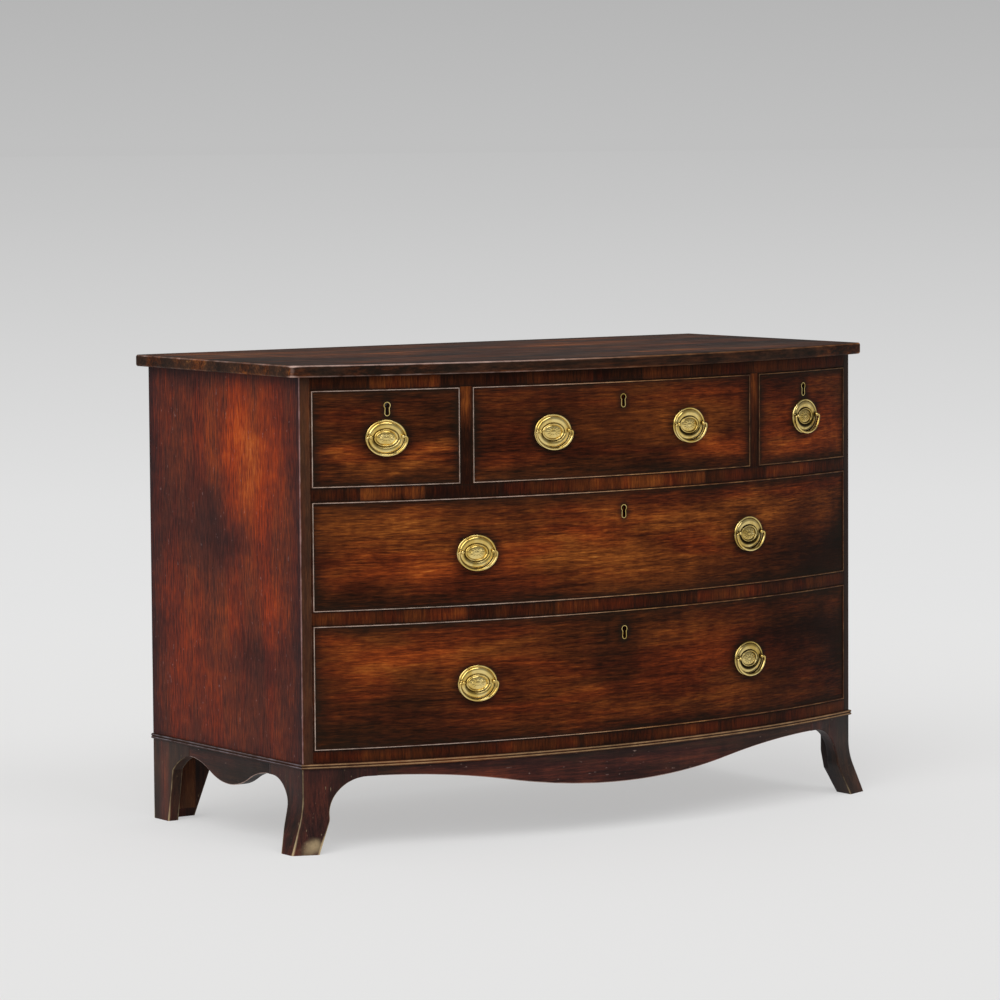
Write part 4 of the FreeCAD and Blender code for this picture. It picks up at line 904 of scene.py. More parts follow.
def end_board(stile_tone):
    """The right end board, from the base to the top; stile_tone warms or darkens its stile."""
    zs = stations(BASE_TOP, CARCASE_TOP, 16.0, (0.0, 4.0, 10.0))
    corners = np.array([
        (HALF_WIDTH, BACK_Y), (HALF_WIDTH, CORNER_Y), (INNER_HALF, float(bow(INNER_HALF))),
        (INNER_HALF, BACK_INNER), (INNER_HALF + REBATE, BACK_INNER), (INNER_HALF + REBATE, BACK_Y),
    ])
    # extra points down the outer face, between the first and the second corner
    face = at(HALF_WIDTH, np.linspace(BACK_Y, CORNER_Y, 34)[1:-1])
    ring, worn = slipped_in(*eased(np.tile(corners, (len(zs), 1, 1)), END_EASE), 5, face)
    points = risen(ring, zs)
    x, y, z = np.moveaxis(points, -1, 0)
    outer = x > HALF_WIDTH - 0.5
    stile = (y < CORNER_Y + 0.5) & ~outer
    # painted shade in a band under the overhanging top; the face also darkens towards the bottom, the
    # back edge, the front edge and in dull spots
    grime = outer * (0.35 * np.exp(-(z - BASE_TOP) / 40) + 0.6 * np.exp(-(CARCASE_TOP - z) / 14)
                     + 0.85 * np.exp(-(BACK_Y - y) / 34) + 0.85 * np.exp(-(y - CORNER_Y) / 24)
                     + blobs(y, z, SIDE_DULL))
    board = swept(points, marks={
        # the stile carries painted shade that deepens towards the top, under the overhang
        "grime": np.where(stile, 0.2 + 0.5 * np.exp(-(CARCASE_TOP - z) / 60), grime),
        "warm": np.where(stile, stile_tone, outer * blobs(y, z, SIDE_FIGURE)),
        # pale down the front arris: wear and painted highlight
        "worn": worn * (0.3 + 0.4 * bell(y, CORNER_Y, 5.0))})
    x, y, _ = board.middles().T
    board.finish = ((y < CORNER_Y - 0.4) & (x < HALF_WIDTH - 0.6)).astype(int).tolist()
    return board


make_pair("end_board_{}", "side_{}", end_board(-0.3), end_board(0.02),
          [side_wood, stile_wood])
print("end boards:", made["end_board_right"], made["end_board_left"])

# %% [markdown]
# ## The top
# The slab overhangs the front and the ends. Its upper and lower edges are rounded and its front
# corners are softened. The edge is a set of rings, each the outline drawn in by some amount at
# some height. The upper and lower faces are grids whose rims are the innermost ring.

# %% Outline of the slab
TOP_END, TOP_OUT, TOP_REAR = 596.0, 15.0, 310.0    # half length, overhang in front, rear edge
TOP_ROUND, TOP_CORNER = 4.0, 3.0
ACROSS = np.sin(np.linspace(-np.pi / 2, np.pi / 2, 121))
DEPTH = np.linspace(0.0, 1.0, 41)


def slab_ring(inset):
    """The slab's outline drawn in by inset: front left to right, corner, side, rear, side."""
    reach, radius = max(TOP_CORNER, inset), max(TOP_CORNER - inset, 0.0)
    cx = TOP_END - reach
    cy = float(bow(cx, TOP_OUT - reach))
    lean = math.asin(cx / (BOW_RADIUS + TOP_OUT - reach))
    turn = np.linspace(lean - math.pi / 2, 0, 6)
    corner = at(cx + radius * np.cos(turn), cy + radius * np.sin(turn))
    front_x = ACROSS * corner[0, 0]
    front = at(front_x, bow(front_x, TOP_OUT - inset))
    side = at(TOP_END - inset, cy + (TOP_REAR - cy) * DEPTH[1:-1])
    rear = at((TOP_END - inset) * -ACROSS, TOP_REAR)
    left = [part[::-1] * [-1, 1] for part in (side, corner)]
    return np.concatenate([front[1:-1], corner, side, rear, *left])


print("the slab's outline has", len(slab_ring(0.0)), "points")

# %% [markdown]
# Pale wear and painted highlights are strongest on the two rounds of the edge, with a painted
# glint at the front corners, and weaker on the right, away from the light. Painted shade darkens
# the flat between the rounds. The ends show red end grain in patches.

# %% Top slab
# spots of the upper face: x, y, reach along, reach deep, strength
TOP_FIGURE = [(-400, 150, 160, 90, 0.16), (-120, 60, 200, 60, 0.1), (200, 160, 150, 70, 0.14),
              (80, -120, 220, 60, -0.08), (430, 60, 120, 90, -0.08)]


def slab_edge():
    """The rounded edge all the way round: a lower round, a flat and an upper round."""
    turn = np.linspace(0, np.pi / 2, 7)
    rise, fall = TOP_ROUND * (1 - np.cos(turn)), TOP_ROUND * (1 - np.sin(turn))
    rings = np.stack([slab_ring(inset) for inset in (*fall, *rise)])
    points = risen(rings, np.concatenate([CARCASE_TOP + rise, TOTAL_HEIGHT - fall]))
    # painted highlights on the two rounds, partly wear, stronger on the upper one
    worn = np.concatenate([np.sin(2 * turn) * 0.55, np.sin(2 * turn) * 0.72])
    # painted shade on the edge, darkest on the flat between the rounds
    grime = np.concatenate([0.2 + 0 * turn, 0.35 * np.cos(turn)])
    grime[6:8] = 0.45          # painted shade on both sides of the flat between the rounds
    x, y = points[..., 0], points[..., 1]
    # a painted glint at each front corner
    corner = bell(np.abs(x), TOP_END, 9) * bell(y, -200, 9)
    on_end = np.abs(x) > TOP_END - TOP_ROUND - 0.5
    patches = 0.5 + 0.5 * np.sin(y / 19) * np.sin(y / 7.3 + 1)
    # painted highlights weaker towards the right, away from the light, and 0.75 on the ends
    share = np.where(on_end, 0.75, 1 - 0.2 * np.clip(x / 300, 0, 1))
    return Shape(points, quads_of(*points.shape[:2], wrap_cols=True), {
        "worn": np.clip(worn[:, None] * share + 0.8 * corner, 0, 1), "grime": grime[:, None],
        "warm": on_end * (0.06 + 0.26 * patches) * np.clip((250 - y) / 200, 0, 1)})


def slab_face(z):
    """The level face of the slab, a grid whose rim is the innermost ring."""
    x = ((TOP_END - TOP_ROUND) * ACROSS)[:, None]
    front = bow(x, TOP_OUT - TOP_ROUND)
    y = front + (TOP_REAR - front) * DEPTH
    rim = np.minimum(np.minimum(y - front, TOP_REAR - y), TOP_END - TOP_ROUND - np.abs(x))
    return Shape(at(x, y, z), quads_of(*y.shape), {
        "grime": 0.4 * np.exp(-rim / 30), "worn": 0.35 * np.exp(-rim / 2.5),
        "warm": blobs(x, y, TOP_FIGURE)})


make_piece("top_slab", slab_edge() + slab_face(TOTAL_HEIGHT) + slab_face(CARCASE_TOP),
           [top_wood], stands_for=("top_board",))
print("top slab:", made["top_slab"])

# %% [markdown]
# ## Base moulding
# A thin moulding of two round reeds hides the joint between the carcase and the base. Its
# section is carried along the left side, the bow and the right side in one go, and at the
# corners each point of the section turns where its own offset lines meet, which is a mitre.

# %% Reeded moulding
REED, REED_OUT = 2.25, 1.75    # radius of a reed, and how far out its middle stands


def reed_section():
    """Two half-round reeds one above the other: rows of out, z, and wear and highlight, back to back.
    """
    turn = np.linspace(-np.pi / 2, np.pi / 2, 9)
    out, z, worn = [0.0], [BASE_TOP - 4 * REED], [0.0]
    for middle in (BASE_TOP - 3 * REED, BASE_TOP - REED):
        out += list(REED_OUT + REED * np.cos(turn))
        z += list(middle + REED * np.sin(turn))
        # each reed's painted highlight, partly wear, leans to its upper side
        worn += list(np.cos(turn - 0.35).clip(0) ** 3 * 0.95)
    return np.array([out + [0.0], z + [BASE_TOP], worn + [0.0]])


def reed_path(out):
    """The line at a given distance outside the carcase: left side, bow, right side."""
    end = HALF_WIDTH + out
    xs = np.linspace(-end, end, 91)
    side = at(end, np.linspace(float(bow(end, out)), BACK_Y, 13)[1:])
    return np.concatenate([side[::-1] * [-1, 1], at(xs, bow(xs, out)), side])


reed_out, reed_z, reed_wear_and_highlight = reed_section()
reeds = risen(np.stack([reed_path(out) for out in reed_out]), reed_z).swapaxes(0, 1)
in_front = np.abs(reeds[..., 0]) < HALF_WIDTH
# painted highlights stronger on the front than on the sides
moulding = swept(reeds, marks={"worn": reed_wear_and_highlight * (0.6 + 0.2 * in_front)})
x, y, _ = moulding.middles().T
# the side lengths take the shaded copy with grey painted highlights
moulding.finish = ((np.abs(x) > HALF_WIDTH) & (y > CORNER_Y)).astype(int).tolist()
make_piece("reeded_moulding", moulding, [reed_wood, reed_side_painted_light_wood],
           stands_for=("base_moulding",), crisp=50)
print("moulding:", made["reeded_moulding"], "faces on", len(reeds), "stations")

# %% [markdown]
# ## Aprons
# The front apron is a bent board whose lower edge waves: lowest in the middle, and up to a
# peak beside each foot, by two equal arcs that meet half way. Each station along it has the
# same section with its own lower height, and the lower front edge is eased.

# %% Aprons
FRONT_PEAK, FRONT_DROP, FRONT_ARCH = 120.0, 83.5, 124.5
SIDE_FRONT_PEAK, SIDE_REAR_PEAK, SIDE_DROP, SIDE_ARCH = 107.0, 124.0, 88.0, 121.0
APRON_THICKNESS, BRACKET = 25.0, 20.0


def wave(s, low, high, run):
    """Height of the lower edge at s from the middle: an arc up, then an arc that levels out."""
    rise = high - low
    radius = ((run / 2) ** 2 + (rise / 2) ** 2) / rise
    s = np.abs(s)
    inner = low + radius - np.sqrt(radius**2 - np.minimum(s, run / 2) ** 2)
    outer = high - radius + np.sqrt(radius**2 - np.minimum(run - s, run / 2) ** 2)
    return np.where(s <= run / 2, inner, outer)


def apron(along, lower, point_at, thickness):
    """A board from its lower line to the base's top, with its lower front edge eased.

    Its section goes along the underside, round the eased edge, up the front face by shares of
    the height, and back along the top."""
    up = np.concatenate([[0.035, 0.09, 0.18], np.linspace(26, 100, 7) / 100])
    into = np.concatenate([[thickness, thickness - 1.0, 3.5, 1.1, 0.32, 0.0], 0 * up, [thickness]])
    lower = lower[:, None]
    z = np.concatenate([lower + [1.0, 0.0, 0.0, 0.0, 0.32, 1.1], lower + up * (BASE_TOP - lower),
                        0 * lower + BASE_TOP], 1)
    return swept(point_at(along[:, None], into, z), marks={
        "worn": 0.8 * np.concatenate([[0.3, 0.3, 0.0, 0.75, 1.0, 0.75], 0 * up, [0.0]]),
        "grime": np.concatenate([[0.3] * 5, [0.0], 0.4 * up**3, [0.4]])})


front_run = HALF_WIDTH - FRONT_PEAK
s = np.linspace(-front_run, front_run, 141)
make_piece("apron_front_shaped",
           apron(s, wave(s, FRONT_DROP, FRONT_ARCH, front_run),
                 lambda x, into, z: on_bow(x, z, -into), APRON_THICKNESS),
           [base_wood], stands_for=("apron_front",))

side_start, side_stop = CORNER_Y + SIDE_FRONT_PEAK, BACK_Y - SIDE_REAR_PEAK
side_middle, side_run = (side_start + side_stop) / 2, (side_stop - side_start) / 2
s = np.linspace(-side_run, side_run, 61)
side_apron = apron(s, wave(s, SIDE_DROP, SIDE_ARCH, side_run),
                   lambda s, into, z: at(HALF_WIDTH - into, side_middle + s, z), BRACKET)
make_piece("aprons_side_shaped", side_apron + mirrored(side_apron),
           [base_wood], stands_for=("aprons_side",))
print("aprons:", made["apron_front_shaped"], made["aprons_side_shaped"])

# %% [markdown]
# ## Front feet
# A front foot is a splayed leg with an ear along the front and another along the side. At any
# height its plan is a figure of eight corners, so the foot is a loft of such plans. The inner
# edges follow the quarter arches above and lean in below, and the outer faces flare by an arc
# that runs into a straight. At the toe three corners have met in one, which leaves an L.

# %% Foot outlines
FLARE_HEIGHT, FLARE_SHARE, INNER_SHARE = 95.0, 0.48, 0.15
OUT_SIDE, OUT_FRONT, IN_FRONT, IN_SIDE = 20.8, 14.0, 24.0, 21.0    # degrees off upright
CORE, CORE_TOE, CORE_LEAN_HEIGHT = 36.0, 14.0, 75.0
EAR_LEAN, EAR_LEAN_HEIGHT = 21.0, 60.0
FRONT_FLAT, FRONT_RADIUS, SIDE_FLAT, SIDE_RADIUS = 15.0, 64.5, 10.0, 50.0
FRONT_CENTRE, SIDE_CENTRE = FRONT_ARCH - FRONT_RADIUS, SIDE_ARCH - SIDE_RADIUS


def flare(z, start, angle, share=FLARE_SHARE):
    """How far out a flared edge is at height z: none above start, an arc, then a straight."""
    turn, arc_drop = math.radians(angle), share * start
    radius = arc_drop / math.sin(turn)
    drop = np.clip(start - z, 0, None)
    on_arc = radius - np.sqrt(radius**2 - np.minimum(drop, arc_drop) ** 2)
    return on_arc + np.clip(drop - arc_drop, 0, None) * math.tan(turn)


def arch_edge(z, peak, flat, radius, top, angle, share=FLARE_SHARE):
    """Distance of the inner edge from the chest's corner at height z, counted as shrinking:
    the peak above the arch, a quarter circle below it, and a lean out to the toe."""
    centre, foot = top - radius, peak - flat
    on_arc = foot - np.sqrt(np.clip(radius**2 - np.clip(z - centre, 0, radius) ** 2, 0, None))
    lean = foot - radius - flare(z, centre, angle, share)
    return np.where(z > top, peak, np.where(z > centre, on_arc, lean))


print("a front foot's toe flares out", round(float(flare(0.0, FLARE_HEIGHT, OUT_SIDE)), 1),
      "mm at the side and", round(float(flare(0.0, FLARE_HEIGHT, OUT_FRONT)), 1), "mm in front")

# %% [markdown]
# The edges are eased, save where the ears butt against the aprons, and extra points keep the
# bowed front and the side true. Boots and mops have rubbed the polish off the front of the toe.

# %% Front feet
FOOT_EASE = 1.2


def front_foot(knocks):
    """The right front foot as a loft over height; knocks is how rubbed it is, 0 to 1."""
    turn = np.linspace(0, np.pi / 2, 13)
    z = np.unique(np.round(np.concatenate([
        np.linspace(0, 60, 21), FRONT_CENTRE + FRONT_RADIUS * np.sin(turn),
        SIDE_CENTRE + SIDE_RADIUS * np.sin(turn), np.linspace(60, FLARE_HEIGHT, 12),
        [SIDE_ARCH + 0.001, FRONT_ARCH + 0.001, 134, BASE_TOP]]), 4))
    out_x = HALF_WIDTH + flare(z, FLARE_HEIGHT, OUT_SIDE)
    out_y = flare(z, FLARE_HEIGHT, OUT_FRONT)
    in_x = HALF_WIDTH - arch_edge(
        z, FRONT_PEAK, FRONT_FLAT, FRONT_RADIUS, FRONT_ARCH, IN_FRONT, INNER_SHARE)
    in_y = CORNER_Y + arch_edge(
        z, SIDE_FRONT_PEAK, SIDE_FLAT, SIDE_RADIUS, SIDE_ARCH, IN_SIDE)
    core_x = np.maximum(HALF_WIDTH - CORE, in_x)
    core_y = np.minimum(CORNER_Y + np.interp(z, [0, CORE_LEAN_HEIGHT], [CORE_TOE, CORE]), in_y)
    skin_x = HALF_WIDTH - BRACKET + np.interp(z, [0, EAR_LEAN_HEIGHT], [EAR_LEAN, 0])

    def behind_ear(x):
        """Plan points on the back of the bent ear at x, no deeper than the core."""
        return at(x, np.minimum(bow(x, -APRON_THICKNESS), core_y))

    corners = np.stack([
        at(in_x, bow(in_x, out_y)), at(out_x, bow(out_x, out_y)), at(out_x, in_y),
        at(skin_x, in_y), at(skin_x, core_y), at(core_x, core_y),
        behind_ear(core_x), behind_ear(in_x)], 1)
    ring, worn = eased(corners, FOOT_EASE)
    worn[z > FRONT_ARCH - 2, 0:5] = 0
    worn[z > SIDE_ARCH - 2, 10:15] = 0
    t = np.linspace(0, 1, 12)[1:-1]
    x = ring[:, 4, :1] + (ring[:, 5, :1] - ring[:, 4, :1]) * t
    side = ring[:, 9, None] + (ring[:, 10] - ring[:, 9])[:, None] * t[:, None]
    ring, worn = slipped_in(ring, worn, 10, side)
    ring, worn = slipped_in(ring, worn, 5, at(x, bow(x, out_y[:, None])))
    points, up = risen(ring, z), z[:, None]
    outside = np.arange(ring.shape[1]) < 13 + 2 * len(t)
    rub_and_highlight = np.where(outside, 0.24 * np.clip(1 - up / 40, 0, 1) ** 0.7, 0)
    toe = slice(2, 7 + len(t))
    across = points[:, toe, 0] - in_x[:, None]
    rub_and_highlight[:, toe] += 0.58 * knocks * bell(up, 15, 17) * bell(across, 16, 17)
    # the eased arrises carry pale wear and a painted highlight
    return swept(points, marks={
        "worn": np.clip(worn * (0.3 + 0.34 * knocks) + rub_and_highlight, 0, 1),
        "grime": np.where(outside, 0.3 * np.exp(-(BASE_TOP - up) / 12), 0.6)})


make_pair("foot_front_{}_splayed", "foot_front_{}", front_foot(0.1), front_foot(1.0),
          [foot_wood])
print("front feet:", {k: v for k, v in made.items() if k.startswith("foot_front")})

# %% [markdown]
# ## Rear feet
# A rear foot stands square to the wall: a shaped bracket at the side, a plain one at the back
# with a slanted inner edge, and a pine block in the corner between them, which takes the stiles'
# finish.

# %% Rear feet
REAR_KNEE, REAR_THICKNESS, BLOCK_EASE = 91.0, 18.0, 0.8
BLOCK = [(521, 253), (555, 253), (555, 287), (521, 287)]


def circle_through(a, b, c):
    """Middle and radius of the circle through three points of a plane. The middle is as far
    from b and from c as it is from a, which makes two linear equations."""
    others = np.array([b, c], float)
    middle = np.linalg.solve(2 * (others - a), (others**2 - np.square(a)).sum(1))
    return *middle, math.dist(middle, a)


def rear_foot():
    """The right rear foot: two mahogany brackets and the pine block behind them, in the stiles' finish.
    """
    turn = np.linspace(0, np.pi / 2, 16)
    z = np.unique(np.round(np.concatenate([
        np.linspace(0, REAR_KNEE, 20), REAR_KNEE + (SIDE_ARCH - REAR_KNEE) * np.sin(turn),
        [SIDE_ARCH + 0.001, 135, BASE_TOP]]), 4))
    cy, cz, radius = circle_through((66, REAR_KNEE), (90, 109.5), (SIDE_REAR_PEAK, SIDE_ARCH))
    on_arc = cy - np.sqrt(np.clip(radius**2 - (np.minimum(z, SIDE_ARCH) - cz) ** 2, 0, None))
    depth = np.where(z <= REAR_KNEE, np.interp(z, [0, REAR_KNEE], [49, 66]),
                     np.where(z <= SIDE_ARCH, on_arc, SIDE_REAR_PEAK))
    width = np.interp(z, [0, SIDE_ARCH], [71, 120])

    def bracket(*edges):
        """A board between two values of x and two of y, which may change with height."""
        x0, x1, y0, y1, _ = np.broadcast_arrays(*edges, z)
        ring, worn = eased(at(at(x0, x1, x1, x0), at(y0, y0, y1, y1)), FOOT_EASE)
        worn[z > SIDE_ARCH - 3, 0:10] = 0
        up = z[:, None]
        return swept(risen(ring, z), marks={
            "worn": np.clip(worn * 0.6 + 0.25 * np.clip(1 - up / 35, 0, 1), 0, 1),
            "grime": 0.35 * np.exp(-(BASE_TOP - up) / 12)})

    heights = [20.0, 22.0, 60.0, 100.0, BASE_TOP]
    ring, _ = eased(np.tile(np.array(BLOCK, float), (len(heights), 1, 1)), BLOCK_EASE)
    return (bracket(HALF_WIDTH - BRACKET, HALF_WIDTH, BACK_Y - depth, BACK_Y)
            + bracket(HALF_WIDTH - width, HALF_WIDTH - BRACKET, BACK_Y - REAR_THICKNESS, BACK_Y)
            + swept(risen(ring, heights), finish=1))


right_rear = rear_foot()
make_pair("foot_rear_{}_bracket", "foot_rear_{}", right_rear, right_rear,
          [foot_wood, stile_wood])
print("feet:", {k: v for k, v in made.items() if k.startswith("foot")})

# %% [markdown]
# ## Back plates
# Each plate is thin brass stamped in a die: a round rim, a sunk field, a raised ring and a
# domed oval boss with a small flower of radiating petals. All of it is one height against
# distance from the middle. The rings of points are ovals whose stretch eases from the boss's
# to the rim's, so every crease of the die lies on a ring and stays crisp.

# %% Relief of a plate
PLATE_EDGE, BOSS_EDGE, BOSS_STRETCH, PLATE_AROUND = 30.5, 11.6, 1.5, 96
RING, RING_HALF, BAND_LOW, BAND_HIGH, ROLL = 13.0, 1.5, 15.2, 26.6, 1.9
BAND, BAND_HALF, RIM = (BAND_LOW + BAND_HIGH) / 2, (BAND_HIGH - BAND_LOW) / 2, PLATE_EDGE - ROLL
POST_X, POST_Z, PIVOT = 27.7, 2.0, 7.5


def roll(r, middle, half):
    """A rounded bead across the radius: a half circle of height 1 about its middle."""
    return np.sqrt(np.clip(1 - ((r - middle) / half) ** 2, 0, 1))


def plate_relief(r):
    """Height of the stamping at a radius: domed boss, ring, swelling band, rolled rim."""
    die = 1.0 + np.maximum.reduce([
        2.6 * roll(r, 0.0, BOSS_EDGE), 2.5 * roll(r, RING, RING_HALF),
        2.6 * roll(r, BAND, BAND_HALF)])
    rim = np.where(r < RIM, 1.0 + 2.0 * roll(r, RIM, ROLL), 3.0 * roll(r, RIM, ROLL))
    return np.where(r > RIM - ROLL, rim, die)


print("the boss stands", float(plate_relief(0.0)), "mm high and the rim", float(plate_relief(RIM)))

# %% [markdown]
# Grime stays in the creases of the die, between the petals and round the posts, where a polishing
# cloth doesn't reach. Below the boss and on the lower rim behind the bail, the darkening is the
# bail's painted shadow.

# %% Stamped plate


def plate():
    """The stamped front of a plate and its flat back, in the handle's own frame."""
    sweep = np.cos(np.linspace(0, np.pi, 13))
    radius = np.unique(np.round(np.concatenate([
        np.linspace(0.0, BOSS_EDGE, 28), RING - RING_HALF * sweep, BAND - BAND_HALF * sweep,
        RIM - ROLL * sweep]), 4))
    r, a = radius[:, None], circle(PLATE_AROUND)
    ease = np.clip((r - BOSS_EDGE) / (BAND_HIGH - BOSS_EDGE), 0, 1)
    stretch = BOSS_STRETCH + (PLATE_STRETCH - BOSS_STRETCH) * ease * ease * (3 - 2 * ease)
    x, z = r * stretch * np.cos(a), r * np.sin(a)
    petals = 0.28 * np.cos(12 * a) * bell(r, 6.6, 1.9)
    bud = 0.4 * bell(r, 0, 1.9) - 0.3 * bell(r, 3.4, 0.8)
    creases = (0.4 * bell(r, RING - RING_HALF, 0.5) + 0.95 * bell(r, RING + RING_HALF + 0.2, 0.7)
               + 0.45 * bell(r, BAND_HIGH, 0.5))
    # painted shadow of the bail, below the boss and on the lower rim behind it
    bail_shadow = (0.75 * bell(r, 17.2, 1.7) * np.clip(-np.sin(a) * 2.5, 0, 1)
                   + 0.8 * bell(r, 26.4, 1.8) * np.clip(-np.sin(a) * 3, 0, 1))
    round_posts = 0.8 * np.exp(-((np.abs(x) - POST_X) ** 2 + (z - POST_Z) ** 2) / 20)
    grime = np.clip(creases + bail_shadow + round_posts + 1.1 * np.clip(-petals, 0, 1)
                    + 0.9 * np.clip(-bud, 0, 1), 0, 1)
    front = at(x, -(plate_relief(r) + petals + bud), z)
    points = np.concatenate([front, front[-1:] * [1, 0, 1] - [0, 0.02, 0]])
    behind = len(radius) * PLATE_AROUND + np.arange(PLATE_AROUND)
    rim = behind - PLATE_AROUND
    walls = at(rim, np.roll(rim, 1), np.roll(behind, 1), behind)
    faces = [*quads_of(*front.shape[:2], wrap_cols=True), *walls, behind]
    return Shape(points, faces, {"grime": np.concatenate([grime, 0 * grime[:1]])})


print("faces of a plate:", len(plate().faces))

# %% [markdown]
# ## Posts, nuts and bails
# Two turned posts go through each plate, with a round collar, a neck and a ball head that the
# bail hangs in. Behind, a square nut holds each shank.

# %% Posts and nuts
BALL, NUT_HALF, NUT_EASE = 3.3, 4.5, 0.6


def turned(radii, alongs, around, marks):
    """A lathe-turned body: radius against distance along its axis, which points into the wood."""
    a, radii = circle(around), radii[:, None]
    return swept(at(radii * np.cos(a), alongs[:, None], radii * np.sin(a)), marks={
        name: values[:, None] for name, values in marks.items()})


def post(x):
    """One turned post with its nut, at x in the handle's own frame."""
    head = np.linspace(0, np.pi, 13)[2:-1]
    radii = np.concatenate([
        [0.0, 2.2, 2.2, 3.0, 3.5, 3.5, 2.9, 2.1, 2.0], BALL * np.sin(head), [0.0]])
    alongs = np.concatenate([
        [23.2, 23.2, -0.4, -0.6, -1.0, -2.6, -3.2, -3.7, -4.2], -PIVOT + BALL * np.cos(head),
        [-PIVOT - BALL]])
    grime = np.zeros(len(radii))
    grime[6:10] = 0.75
    body = turned(radii, alongs, 20, {"grime": grime})
    square = NUT_HALF * np.array([(-1, -1), (1, -1), (1, 1), (-1, 1)])
    ring, _ = eased(np.tile(square, (4, 1, 1)), NUT_EASE)
    ring[[0, 3]] *= 0.93
    nut = at(ring[..., 0], np.array([19.5, 19.9, 22.1, 22.5])[:, None], ring[..., 1])
    return (body + swept(nut)).moved(lambda p: p + [x, 0, POST_Z])


print("faces of a post and its nut:", len(post(POST_X).faces))

# %% [markdown]
# The bail is one bent wire: pins that turn in the posts, a tight bend outside each, and half
# an oval between, a little thicker in the middle. A circle carried along that line makes it.

# %% Bails
BAIL_HALF, BAIL_BEND, BAIL_DROP = 34.7, 3.2, 30.5
PIN_RADIUS, WIRE_RADIUS, WIRE_SWELL = 1.38, 1.35, 0.75


def bail():
    """The bail's wire: its line is pin, quarter bend, half oval, quarter bend, pin."""
    bend_x = BAIL_HALF - BAIL_BEND
    pin = at(np.linspace(POST_X - 3.1, bend_x, 5)[:-1], 0.0)
    t, s = np.linspace(0, np.pi / 2, 9), np.linspace(0, np.pi, 57)[1:-1]
    quarter = at(bend_x + BAIL_BEND * np.sin(t), -BAIL_BEND + BAIL_BEND * np.cos(t))
    oval = at(BAIL_HALF * np.cos(s), -BAIL_BEND - (BAIL_DROP - BAIL_BEND) * np.sin(s))
    right = np.concatenate([pin, quarter])
    line = np.concatenate([right, oval, (right * [-1, 1])[::-1]])
    along = np.concatenate([[0], np.cumsum(np.hypot(*np.diff(line, axis=0).T))])
    share = along / along[-1]
    from_end = np.minimum(share, 1 - share)
    radius = np.where(from_end < 0.045, PIN_RADIUS,
                      WIRE_RADIUS + WIRE_SWELL * np.sin(np.pi * share) ** 0.8)[:, None]
    tangent = np.gradient(line, axis=0)
    tangent /= np.linalg.norm(tangent, axis=1, keepdims=True)
    a = circle(14)
    x = line[:, :1] - tangent[:, 1:] * radius * np.cos(a)
    z = line[:, 1:] + tangent[:, :1] * radius * np.cos(a)
    return swept(at(x, -PIVOT + radius * np.sin(a), z + POST_Z), marks={
        "grime": 0.5 * np.exp(-from_end / 0.04)[:, None]})


print("width of a bail:", round(float(np.ptp(bail().points[:, 0])), 1), "mm")

# %% [markdown]
# An escutcheon lines each keyhole. All the brass that stands still on a drawer is one piece,
# and each bail is a piece of its own on the body that swings. The handles on the right carry
# painted shade that grows towards the right, and every keyhole but the left one is darker.

# %% Brasses of the drawers
# painted shade on the handles towards the right; every keyhole but the left one is darker too
PAINTED_SHADE_EAST, KEYHOLE_DARKENING = 0.46, 0.35


def escutcheon():
    """The brass lining of a keyhole: a wall from the keyhole's outline to one 1.5 mm larger."""
    section = [(0.0, 4.9), (0.0, 0.2), (0.12, -0.22), (0.45, -0.3), (0.9, -0.3), (1.3, -0.22),
               (ESCUTCHEON_WALL, 0.1), (ESCUTCHEON_WALL, 4.9)]
    lines = [(keyhole(extra, circle(72)), into) for extra, into in section]
    rings = np.stack([at(line[:, 0], into, line[:, 1]) for line, into in lines], 1)
    return swept(rings, closed=True, marks={
        "grime": np.array([1.0, 0.6, 0.0, 0.0, 0.0, 0.4, 1.0, 1.0])})


def placed(shape, x, z, darkening=0.0):
    """A brass set on the bow at x and z, with darkening added all over it, painted shade on the
    handles.
    """
    brasses = shape.moved(lambda p: set_on_bow(p, x, z))
    brasses.marks["grime"] = np.clip(brasses.marks["grime"] + darkening, 0, 1)
    return brasses


lining, wire, handle = escutcheon(), bail(), plate() + post(-POST_X) + post(POST_X)
for name, row in DRAWERS.items():
    middle = row["middle"]
    fittings = placed(lining, middle, row["key_z"], KEYHOLE_DARKENING * (middle > -200))
    for suffix, place in row["handles"].items():
        x, z, body = middle + place, row["handle_z"], name + "_bail" + suffix
        fittings = fittings + placed(handle, x, z, PAINTED_SHADE_EAST * np.clip(x / 250, 0, 1))
        make_piece(body + "_wire", placed(wire, x, z), [brass], body, (body,))
    make_piece(name + "_fittings", fittings, [brass], name, (name + "_brasses",),
               crisp=40)
print("brasses:", {k: v for k, v in made.items() if "fittings" in k or "wire" in k})

# %% [markdown]
# ## The hidden pieces
# The solids that stay are the boards and irons that only show when a drawer is out or the
# chest is turned round. Their shapes are right as they are and get their finishes here.

# %% Finishes of the solids
SOLIDS = [
    (pine, ["back_boards", "bottom_board", "dust_boards", "partitions"]),
    (oak, ["drawer_runners", "drawer_stops", *(name + "_box" for name in DRAWERS)]),
    (cross_wood, ["top_rails", "rail_upper", "rail_lower", "rail_bottom", "dividers"]),
    (front_wood, [name + "_front" for name in DRAWERS]),
    (lock_iron, [name + end for name in DRAWERS for end in ("_lock", "_bolt")]),
    (iron, ["top_screws"]),
]
for finish, names in SOLIDS:
    for name in names:
        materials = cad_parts[name].data.materials
        materials.clear()
        materials.append(finish)
print("solids finished:", sum(len(names) for _, names in SOLIDS))

# %% [markdown]
# ## Floor and light
# The chest stands on a wide pale floor that runs on without an edge. Near the chest the floor
# is plain matt paint that takes the shadow. Further off it turns by degrees into a paler or
# darker glow that only the eye and the gloss of the pieces see, so the ground fades evenly
# towards the horizon and into the world above it.

